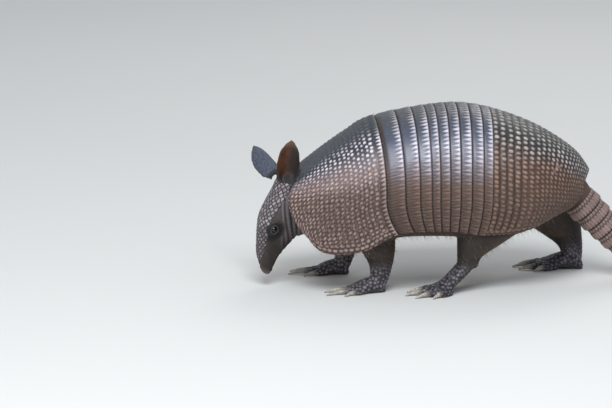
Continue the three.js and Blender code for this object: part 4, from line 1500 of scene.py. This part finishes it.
def sculpt_eyes(move):
    """Lids that close round each ball, creases round them, and a brow."""
    dark = np.zeros(len(skin_own))
    lid = np.zeros(len(skin_own))
    sin, cos = math.sin(math.radians(EYE_TILT)), math.cos(math.radians(EYE_TILT))
    for side in (1, -1):
        centre = np.array(eye_centre(side))
        dx, dz = head_x - centre[0], head_z - centre[2]
        near = (head_y * side > 4) & (np.hypot(dx, dz) < 20) & (ear_mask < 0.1)
        along, over = dx * cos + dz * sin, dz * cos - dx * sin
        rho = np.hypot(along / 1.12, over / np.where(over > 0, 0.86, 0.94))
        ball = centre[1] + np.sqrt(np.clip(EYE_RADIUS**2 - rho**2, 0, None))
        rim = centre[1] + math.sqrt(EYE_RADIUS**2 - EYE_OPENING**2) + LID_OVER_EYE
        base = head_y * side
        open_here = rho < EYE_OPENING
        lid_level = np.maximum(base, rim - 0.12 * (rho - EYE_OPENING))
        target = np.where(open_here, ball - SOCKET_DEPTH, lid_level)
        lift = (target - base) * np.where(open_here, 1.0, ramp(rho, 9.5, 4.4))
        for distance, width, height in EYE_CREASES:
            lift += near * height * bell(rho - distance, width)
        lift += near * 0.5 * bell(over - 6.5, 1.8) * bell(along, 7)
        rays = np.sin(15 * np.arctan2(over, along))
        lift += near * 0.22 * rays * ramp(rho, 4.8, 6.5) * ramp(rho, 11, 8)
        move[near, 1] += (lift * side)[near]
        patch = np.hypot((along - 2.5) / 13.0, (over + 2.0) / 9.5)
        dark = np.where(near, ramp(patch, 1.15, 0.75), dark)
        lid = np.where(near, bell(rho - 4.2, 0.9), lid)
    return dark, lid


# %% The muzzle


def sculpt_muzzle(move):
    """Nostrils, the rim of the nose, the mouth's line and the corner of the mouth; returns the nose
    and a mask for painted shade in the nostrils and along the mouth's line.
    """
    nose = ramp(head_x, 92, 97)
    pit = np.zeros(len(skin_own))
    for side in (1, -1):
        away = np.sqrt((head_y - side * 2.5) ** 2 + (head_z + 1.6) ** 2)
        pit = np.maximum(pit, bell(away, 1.15) * ramp(head_x, 94, 97))
        wing = bell(away - 2.2, 0.7) * ramp(head_x, 93, 97)
        move[:, 0] += 0.35 * wing
    move[:, 0] -= 3.0 * pit
    line = np.interp(head_x, [52, 66, 80, 97], [-19, -14.5, -8.2, -5.2])
    mouth = bell(head_z - line, 0.55) * ramp(head_x, 54, 60) * ramp(head_x, 98, 95)
    below = bell(head_z - line + 1.7, 1.0) * ramp(head_x, 54, 64)
    width = np.abs(normals_in_head[:, 1])
    move[:, 1] += np.sign(head_y) * width * (-0.9 * mouth + 0.35 * below)
    ridge = bell(head_x - 93.5, 1.3) - bell(head_x - 91, 1.0)
    nose_band = ramp(head_x, 88, 91) * head_mask
    move += normals_in_head * (0.3 * ridge * nose_band)[:, None]
    return nose, np.maximum(pit, mouth * 0.8)


# %% The folds, and all forms together
FOLD_PITCH = 5.2
JAW_FOLD_PITCH = 4.2


def sculpt_folds(move):
    """Loose folds across the cheek, the throat bag and the neck; returns masks for painted shade in
    the hollows and a painted highlight on the crests.
    """
    bend = own_x + 2.2 * wave(skin_own, 0.07, 3) + 0.06 * own_z
    behind_eye = ramp(own_x, -181, -174) * ramp(own_x, -138, -146)
    neck = behind_eye * (1 - ear_mask) * (own_z > 30) * (0.12 + 0.88 * ramp(own_z, 118, 98))
    neck *= 1 - ramp(np.hypot(head_x - EYE_X, head_z - EYE_LEVEL), 15, 10) * head_mask
    fold = np.abs(np.sin(bend * np.pi / FOLD_PITCH))
    depth = neck * np.clip(0.75 + 0.3 * wave(skin_own, 0.11, 5), 0.25, 1.2)
    jaw = ramp(head_z, -6, -14) * ramp(head_x, 30, 44) * ramp(head_x, 84, 70)
    across = np.abs(np.sin((head_x + 1.5 * wave(skin_own, 0.12, 8)) * np.pi / JAW_FOLD_PITCH))
    height = depth * 1.9 * (fold**0.6 - 0.75) + jaw * 0.5 * (across**0.7 - 0.7)
    move += normals_in_head * height[:, None]
    return np.maximum(depth * (1 - fold) ** 2.2, 0.6 * jaw * (1 - across) ** 2), depth * fold**2


move_in_head = np.zeros_like(skin_own)
eye_dark, lid = sculpt_eyes(move_in_head)
nose, pits = sculpt_muzzle(move_in_head)
fold_shade, ridge = sculpt_folds(move_in_head)
# The mask of the fold hollows, nostrils and mouth line is painted shade; the ridge mask is a
# painted highlight on the fold crests.
masks.update(eye_dark=eye_dark, lid=lid, nose=nose * head_mask, ridge=ridge,
             cavity=np.clip(np.maximum(fold_shade, pits), 0, 1))
skin_own = transformed(head_matrix, in_head_axes + move_in_head)
print("largest move in mm:", round(float(np.abs(move_in_head).max()), 1))

# %% [markdown]
# Feet and shins carry small round scutes. We scatter seeds over the skin, keep those that are far
# enough from each other, and let each vertex look up its two nearest seeds.

# %% Scutes on the limbs
SKIN_SCUTE = 3.3


def scatter(points, spacing, seed):
    """Points out of a cloud that keep their distance from each other."""
    order = np.random.default_rng(seed).permutation(len(points))
    cell = np.floor(points / spacing).astype(int)
    taken = {}
    for i in order:
        key = tuple(cell[i])
        close = [q for dx in (-1, 0, 1) for dy in (-1, 0, 1) for dz in (-1, 0, 1)
                 for q in taken.get((key[0] + dx, key[1] + dy, key[2] + dz), ())]
        if all((points[i] - points[q]) @ (points[i] - points[q]) > spacing**2 for q in close):
            taken.setdefault(key, []).append(i)
    return np.array([i for group in taken.values() for i in group])


def nearest_two(points, seeds):
    """Distance to the border between a point's nearest two seeds, and the number of its own."""
    tree = KDTree(len(seeds))
    for i, seed in enumerate(seeds):
        tree.insert(seed, i)
    tree.balance()
    border = np.empty(len(points))
    middle = np.empty(len(points))
    own = np.empty(len(points), int)
    for k, p in enumerate(points):
        (a, i, near), (b, _, far) = tree.find_n(p, 2)
        border[k] = (far**2 - near**2) / (2 * (a - b).length)
        middle[k] = near
        own[k] = i
    return border, middle, own


limb = np.flatnonzero(foot_mask > 0.05)
on_limb = skin_own[limb]
border, middle, seed = nearest_two(on_limb, on_limb[scatter(on_limb, SKIN_SCUTE, 21)])
size = 0.7 + 0.6 * noise_of(seed, 0, 9.0)
top_side = ramp(skin_normals[limb, 2], -0.75, -0.2)
tops = ramp(middle, 2.0 * size, 0.6 * size) * foot_mask[limb] * top_side
pale, groove, lift = (np.zeros(len(skin_own)) for _ in range(3))
pale[limb] = tops * (0.6 + 0.4 * noise_of(seed, 1, 4.0))
groove[limb] = ramp(border, 0.7, 0.1) * foot_mask[limb]
lift[limb] = foot_mask[limb] * top_side * (0.45 * ramp(border, 0.1, 1.3) - 0.15)
masks.update(pale=pale, groove=groove)
skin_own = skin_own + skin_normals * lift[:, None]
print("scutes on the limbs:", int(seed.max()) + 1)

# %% Store the masks and finish the skin's shape
skin_own[:, 2] = np.maximum(skin_own[:, 2], 0)
write_points(skin_mesh, to_row(skin_own))
for key, values in masks.items():
    keep(skin_mesh, key, values)
print("masks:", ", ".join(masks))

# %% [markdown]
# ## The finish of bare skin
#
# Dark grey-brown, almost black round the eye and muzzle, paler and pinker on the nose and the
# tail's root, lavender grey on the feet with whitish scutes. On the body and legs the skin is
# painted darker, as painted shade under the shell. The hollows of the folds, the nostrils and the
# mouth's line carry painted shade, and the crests of the folds a painted highlight. The ears are
# thin leather, painted warm in front as light coming through and dark inside as painted shade.

# %% Skin material


def ear_leather(f, fine):
    """Warm brown in front, painted as light coming through, dark as painted shade inside, blue-grey
    behind.
    """
    veins = f.noise(150, 4, (1, 1, 0.35))
    front = f.paint(
        # painted shade in the ear's hollow
        tint(38, 29, 26),
        (f.number("ear_front").step(0.35, 0.75),
         f.mix(veins.step(0.35, 0.65), tint(62, 36, 22), tint(96, 56, 32))),
        (f.number("ear_up").step(0.72, 0.95) * 0.6, tint(104, 84, 60)),
        # painted shade at the foot of the hollow
        (f.number("ear_up").step(0.35, 0.0) * 0.6, tint(22, 16, 14)))
    behind = f.mix(fine.step(0.3, 0.7), tint(58, 62, 74), tint(80, 86, 100))
    return f.mix(f.number("ear_inside"), behind, front)


def skin_finish():
    f = Finish("bare_skin", roughness=0.6, specular_ior_level=0.4)
    blotch = f.noise(38, 4)
    fine = f.noise(420, 3)
    wrinkle = f.cells(300, (1.0, 1.0, 0.7))
    feet = f.paint(
        tint(56, 51, 55),
        (f.number("pale"), tint(142, 138, 148)),
        (f.number("groove") * 0.7, tint(28, 23, 23)))
    head = f.paint(
        tint(48, 43, 42),
        (fine.step(0.3, 0.7), tint(66, 60, 59)),
        (blotch.step(0.3, 0.8) * 0.4, tint(78, 67, 65)))
    muzzle = f.mix(f.noise(90, 3, (1, 1, 0.5)).step(0.4, 0.7), tint(29, 25, 25), tint(62, 46, 40))
    color = f.paint(
        # painted shade: the body's and legs' skin tints and the belly's paler tint are painted
        # darker for the shadow under the shell
        tint(29, 22, 18),
        (blotch.step(0.3, 0.75), tint(49, 38, 32)),
        (f.number("belly") * 0.45, tint(80, 64, 55)),
        (f.number("foot") * 0.85, feet),
        (f.number("head"), head),
        # painted highlight on the crests of the folds
        (f.number("ridge") * 0.7, tint(136, 127, 129)),
        (f.number("snout") * 0.75, muzzle),
        (f.number("eye_dark") * 0.93, tint(15, 13, 13)),
        (f.number("lid") * 0.4, tint(84, 81, 82)),
        (f.number("nose") * 0.6, tint(112, 86, 82)),
        (f.number("ear_foot") * 0.8, tint(30, 25, 24)),
        (f.number("ear"), ear_leather(f, fine)),
        (f.number("tail_root") * 0.85, tint(98, 78, 66)),
        # painted shade in the hollows of the folds, the nostrils and the mouth's line
        (f.number("cavity") * 0.85, tint(20, 16, 15)))
    rough = 0.5 + 0.25 * blotch - 0.12 * f.number("pale")
    relief = wrinkle.step(0.0, 0.25) * 0.5 + fine * 0.6
    return f.wear(base_color=color, roughness=rough, normal=f.bump(relief, 0.3, 0.6))


flesh = ["trunk", "neck", "head", "tail_root"]
for pair in ("ear", "foreleg", "hindleg", "forefoot", "hindfoot"):
    flesh += [f"{pair}_left", f"{pair}_right"]
finish_piece(skin_mesh, flesh, skin_finish())

# %% [markdown]
# ## Eyes
#
# An armadillo's eye is small, dark and wet, with hardly any white to see. A ball with a dark brown
# iris and a black pupil, under a clear coat, is enough. The lids of the skin close round it.

# %% Two eyes
IRIS = 2.6
PUPIL = 1.5


def eyeball(side, name):
    bm = bmesh.new()
    bmesh.ops.create_uvsphere(bm, u_segments=48, v_segments=32, radius=EYE_RADIUS * MM)
    onto_side = Matrix.Rotation(math.radians(90), 3, "X")
    bmesh.ops.rotate(bm, verts=bm.verts, cent=(0, 0, 0), matrix=onto_side)
    mesh = mesh_from(bm, f"{name}_ball")
    local = read_points(mesh) / MM
    keep(mesh, "from_axis", np.hypot(local[:, 0], local[:, 2]) + 10 * (local[:, 1] * side < 0))
    points = transformed(head_matrix, local + np.array(eye_centre(side)))
    write_points(mesh, to_row(points))
    return finish_piece(mesh, [name], eye_finish)


wet = Finish("wet_eye", roughness=0.15, coat_weight=1.0, coat_roughness=0.03,
             specular_ior_level=0.1)
from_axis = wet.number("from_axis")
eye_finish = wet.wear(base_color=wet.paint(
    tint(5, 4, 4),
    (from_axis.step(PUPIL, PUPIL + 0.3), tint(28, 19, 14)),
    (from_axis.step(IRIS, IRIS + 0.4), tint(18, 14, 13))))
eyeball(1, "eye_left")
eyeball(-1, "eye_right")

# %% [markdown]
# ## Claws
#
# The claws dig. They are thick curved spikes of horn with growth rings, worn and stained at the
# root, and longest on the two middle toes of the forefoot.

# %% Eighteen claws
CLAW_SHARE = 0.72
CLAW_TIP_HEIGHT = 0.3
CLAW_SETBACK = 2.5  # how deep a claw's root sits in its toe


def claw_finish():
    f = Finish("claw_horn", roughness=0.4)
    streak = f.noise(700, 3, (1, 1, 0.4))
    color = f.paint(
        tint(136, 128, 114),
        (streak.step(0.3, 0.75), tint(196, 192, 184)),
        (f.number("root").step(0.4, 0.0) * 0.8, tint(74, 62, 52)),
        (f.number("root").step(0.8, 1.0) * 0.3, tint(108, 94, 80)))
    rings = f.noise(1500, 1, (1, 0.2, 0.2)) * 0.4 + streak
    return f.wear(base_color=color, roughness=0.3 + 0.3 * streak, normal=f.bump(rings, 0.15, 0.6))


def claw(foot_name, number, toe, material):
    length = toe[4]
    toe_radius = FEET[foot_name]["shape"]["toe_radius"]
    root_radius = toe_radius * CLAW_SHARE
    root_height = toe_radius - SOLE_FLAT
    u = np.r_[-CLAW_SETBACK / length, np.linspace(0, 0.96, 22)]
    forward = np.clip(u, 0, None)
    centres = np.stack([u * length, 0 * u, root_height * (1 - 0.85 * forward**2.2)], 1)
    slopes = np.stack([1 + 0 * u, 0 * u, -1.87 * root_height * forward**1.2 / length], 1)
    radius = root_radius * (1 - 0.78 * forward**0.9) * (1 + 0.02 * np.sin(u * length * 3.0))
    rows = closed(ring_points(centres, slopes, radius * 0.86, radius, 16))
    rows[-1] = [length, 0, CLAW_TIP_HEIGHT]
    place = toe_matrix(foot_name, toe) @ Matrix.Translation((toe[3] + 0.3, 0, 0))
    points = transformed(place, rows)
    points[..., 2] = np.maximum(points[..., 2], 0)
    u = np.clip(np.r_[u[0], u, 1.0], 0, 1)[:, None] + 0 * points[..., 0]
    horn_piece(f"{foot_name}_claw_{number}", to_row(points), {"root": u}, material)


claw_horn = claw_finish()
for foot_name, foot in FEET.items():
    for number, toe in enumerate(foot["shape"]["toes"], 1):
        claw(foot_name, number, toe, claw_horn)

# %% [markdown]
# ## Hair
#
# An armadillo is nearly bare. Pale bristles stand behind the scutes of the armour, and longer
# straw-coloured hairs grow thinly on the belly, legs, cheeks and throat. One tapered hair comes
# from a cone operator. An array makes as many copies as there are roots, and numpy then puts each
# copy in its place, bent backwards. Each hair also gets its own small patch in a UV map, at the
# place of its root on the unrolled body, so that its colour can be baked.

# %% A coat of separate hairs
HAIR_SEGMENTS = 4
HAIR_PATCH = 0.003


def hair_prototype():
    bm = bmesh.new()
    bmesh.ops.create_cone(bm, cap_ends=True, segments=3, radius1=1, radius2=0.15, depth=1)
    sides = [e for e in bm.edges if abs(e.verts[0].co.z - e.verts[1].co.z) > 0.5]
    bmesh.ops.subdivide_edges(bm, edges=sides, cuts=HAIR_SEGMENTS - 1, use_grid_fill=True)
    bmesh.ops.translate(bm, verts=bm.verts, vec=(0, 0, 0.5))
    return mesh_from(bm, "hair")


def coat(name, roots, directions, bends, lengths, radii, unrolled, material):
    """Joined hairs in the animal's own millimetres. unrolled is each root's place in the UV map."""
    prototype = hair_prototype()
    holder = add_object("hair", prototype)
    copies = holder.modifiers.new("copies", "ARRAY")
    copies.use_relative_offset = False
    copies.count = len(roots)
    mesh = applied(holder)
    mesh.name = name
    each = len(prototype.vertices)
    local = read_points(mesh).reshape(len(roots), each, 3)
    along = local[..., 2:3]
    side = unit(np.cross(directions, bends + 1e-3))[:, None]
    other = unit(np.cross(directions, side[:, 0]))[:, None]
    length, radius = lengths[:, None, None], radii[:, None, None]
    points = (roots[:, None] + directions[:, None] * along * length
              + bends[:, None] * along**2 * length
              + (side * local[..., 0:1] + other * local[..., 1:2]) * radius * (1 - 0.7 * along))
    points[..., 2] = np.maximum(points[..., 2], 0.05)
    write_points(mesh, to_row(points.reshape(-1, 3)))
    keep(mesh, "along", along)
    keep(mesh, "hair", np.repeat(np.linspace(0, 1, len(roots)) * 97 % 1, each))
    corner = np.empty(len(mesh.loops), int)
    mesh.loops.foreach_get("vertex_index", corner)
    patch = np.stack([local[..., 0] * 0.5, along[..., 0] - 0.5], -1) * HAIR_PATCH * 0.9
    places = (unrolled[:, None] + patch).reshape(-1, 2)
    mesh.uv_layers.new(name="OFBake").data.foreach_set(
        "uv", np.ascontiguousarray(places[corner], dtype=np.float32).ravel())
    print(f"{name}: {len(roots)} hairs, {triangles(mesh)} triangles")
    return finish_piece(mesh, [], material)


def hair_finish(name, root, tip):
    f = Finish(name, roughness=0.45)
    own = f.number("hair")
    color = f.paint(root, (f.number("along").step(0.1, 0.8), tip), (own * 0.35, tint(120, 108, 92)))
    return f.wear(base_color=color, roughness=0.4 + 0.15 * own)


# %% Bristles on the armour
EDGE_HAIRS = 90
SHIELD_HAIRS = 900
RING_HAIRS = 22
HAIRY_TO = 1.35  # how far down the flanks they grow, as a
ROOT_DEPTH = 0.3
BRISTLE_RADIUS = 0.14


def shell_bristles():
    """Roots, directions, lengths and places in the UV map, at plate edges and on the shields."""
    s, a, length = [], [], []
    for edge in BAND_EDGES:
        s.append(np.full(EDGE_HAIRS, edge - 0.006))
        a.append(chance.uniform(-HAIRY_TO, HAIRY_TO, EDGE_HAIRS))
        length.append(chance.uniform(2.5, 5.5, EDGE_HAIRS))
    s += [chance.uniform(0.1, 2.9, SHIELD_HAIRS // 2), chance.uniform(5.1, 7.9, SHIELD_HAIRS // 2)]
    a.append(chance.uniform(-HAIRY_TO, HAIRY_TO, SHIELD_HAIRS))
    length.append(chance.uniform(1.5, 3.5, SHIELD_HAIRS))
    s, a, length = (np.concatenate(v) for v in (s, a, length))
    normal = shell_normal(s, a)
    back = unit(shell_point(s + 0.02, a) - shell_point(s - 0.02, a))
    directions = unit(back + normal * chance.uniform(0.25, 0.7, (len(s), 1))
                      + chance.normal(0, 0.15, (len(s), 3)))
    place = np.stack([0.02 + 0.96 * s / 8, 0.05 + 0.55 * (a + RIM) / (2 * RIM)], -1)
    return shell_point(s, a) - ROOT_DEPTH * normal, directions, length, place


def ring_bristles(i):
    """The same for the rear edge of a tail ring, where it is clear of the floor."""
    l = np.full(RING_HAIRS, ring_start(i + 1) - 0.6)
    turn = np.sort(chance.uniform(0, 1, RING_HAIRS)) * 2 * np.pi
    centres, ahead = tail_line(l)
    across = unit(np.cross(ahead, [0.0, 0.0, 1.0]))
    out = across * np.cos(turn)[:, None] + np.cross(across, ahead) * np.sin(turn)[:, None]
    roots = centres + out * tail_radius(l)[:, None]
    place = np.stack([0.02 + 0.9 * l / TAIL_LENGTH, 0.68 + 0.25 * turn / 6.3], -1)
    above = roots[:, 2] > 1.5
    length = chance.uniform(2, 3.5, above.sum())
    return roots[above], unit(ahead + 0.5 * out)[above], length, place[above]


groups = [shell_bristles()] + [ring_bristles(i) for i in range(RING_COUNT)]
roots, directions, lengths, places = (np.concatenate(v) for v in zip(*groups))
bends = unit(chance.normal(0, 1, directions.shape)) * 0.08
coat("bristles", roots, directions, bends, lengths, np.full(len(roots), BRISTLE_RADIUS), places,
     hair_finish("bristle", tint(104, 96, 84), tint(176, 167, 149)))

# %% Hair on the skin
SKIN_HAIRS = 2600
HAIR_RADIUS = 0.12


def hair_share():
    """How likely a hair is to grow on each point of the skin."""
    x, z = skin_own[:, 0], skin_own[:, 2]
    body = head_mask < 0.1
    leg = ramp(z, 10, 24) * ramp(z, 66, 52) * body * (x > -140) * (x < 190)
    under = (np.abs(x) < 150) * ramp(normals[:, 2], 0.0, -0.5) * (z > 44) * body
    cheek = head_mask * ramp(head_x, 10, 24) * ramp(head_x, 92, 74) * ramp(head_z, 8, -8)
    throat = ramp(x, -178, -170) * ramp(x, -138, -150) * (z > 36) * (z < 110)
    throat *= ear_mask < 0.1
    share = 0.7 * leg + 1.0 * under + 0.8 * cheek + 0.6 * throat
    share *= (foot_mask < 0.6) * (eye_dark < 0.5) * (z > 3)
    return share / share.sum()


normals = vertex_normals(skin_mesh)
pick = chance.choice(len(skin_own), SKIN_HAIRS, replace=False, p=hair_share())
roots, normal = skin_own[pick], normals[pick]
on_head = head_mask[pick] > 0.5
to_nose = np.array(head_matrix.to_3x3() @ Vector((1, 0, 0)))
lie = np.where(on_head[:, None], -0.9 * to_nose, np.array([0.55, 0.0, -0.8]))
directions = unit(lie + 0.55 * normal + chance.normal(0, 0.25, (SKIN_HAIRS, 3)))
bends = np.array([0.1, 0, -0.25]) + chance.normal(0, 0.08, (SKIN_HAIRS, 3))
lengths = np.where(on_head, chance.uniform(2.0, 4.5, SKIN_HAIRS), chance.uniform(4, 9, SKIN_HAIRS))
turn = np.arctan2(roots[:, 1], 60 - roots[:, 2]) / (2 * np.pi) + 0.5
places = np.stack([0.03 + 0.94 * (roots[:, 0] + 240) / 460, 0.03 + 0.94 * turn], -1)
coat("sparse_hair", roots - ROOT_DEPTH * normal, directions, bends, lengths,
     np.full(SKIN_HAIRS, HAIR_RADIUS), places,
     hair_finish("soft_hair", tint(96, 82, 64), tint(188, 172, 138)))

# %% [markdown]
# ## Floor, light and camera
#
# A plain pale floor and soft light from above, a little cool like an open sky, with a weak warm
# fill from the front. The camera stands four metres away with a long lens, a little above the
# animal and a little behind its shoulder.

# %% The floor
FLOOR_SIZE = 6.0
bm = bmesh.new()
bmesh.ops.create_grid(bm, x_segments=1, y_segments=1, size=FLOOR_SIZE / 2)
floor = add_object("floor", mesh_from(bm, "floor"))
paper = Finish("floor_paper", roughness=0.9)
floor.data.materials.append(paper.wear(
    base_color=paper.mix(paper.noise(3.0) * 0.3, tint(224, 223, 219), tint(214, 213, 209))))

# %% The camera
AIM = to_row((-148, 0, 90))
CAMERA_TURN = math.radians(5)
CAMERA_TILT = math.radians(12)
CAMERA_DISTANCE = 4.0
PIXEL = 1.1 * MM
FRAME_PIXELS = 612
SENSOR = 36.0

forward = Vector((math.cos(CAMERA_TILT) * math.sin(CAMERA_TURN),
                  math.cos(CAMERA_TILT) * math.cos(CAMERA_TURN), -math.sin(CAMERA_TILT)))
camera_data = bpy.data.cameras.new("camera")
camera_data.sensor_width = SENSOR
camera_data.lens = SENSOR * CAMERA_DISTANCE / (PIXEL * FRAME_PIXELS)
camera = add_object("camera", camera_data)
camera.location = Vector(AIM) - forward * CAMERA_DISTANCE
camera.rotation_euler = forward.to_track_quat("-Z", "Y").to_euler()
bpy.context.scene.camera = camera
print("lens:", round(camera_data.lens, 1), "mm, camera height:", round(camera.location.z, 2), "m")

# %% The lights


def softbox(name, place, size, power, color):
    """A square area light that shines at the animal."""
    data = bpy.data.lights.new(name, "AREA")
    data.size = size
    data.energy = power
    data.color = color
    light = add_object(name, data)
    light.location = place
    light.rotation_euler = (Vector(AIM) - Vector(place)).to_track_quat("-Z", "Y").to_euler()


softbox("sky", (-0.35, -1.6, 2.0), 1.2, 50, (0.9, 0.95, 1.0))
softbox("side", (-1.8, -1.6, 0.9), 0.4, 9, (1.0, 0.97, 0.93))
softbox("back", (0.6, 1.6, 1.8), 1.2, 10, (1.0, 1.0, 1.0))
world = bpy.data.worlds.new("studio")
world.use_nodes = True
world.node_tree.nodes["Background"].inputs["Color"].default_value = (0.72, 0.76, 0.82, 1)
world.node_tree.nodes["Background"].inputs["Strength"].default_value = 0.6
bpy.context.scene.world = world
bpy.context.scene.view_settings.view_transform = "Standard"
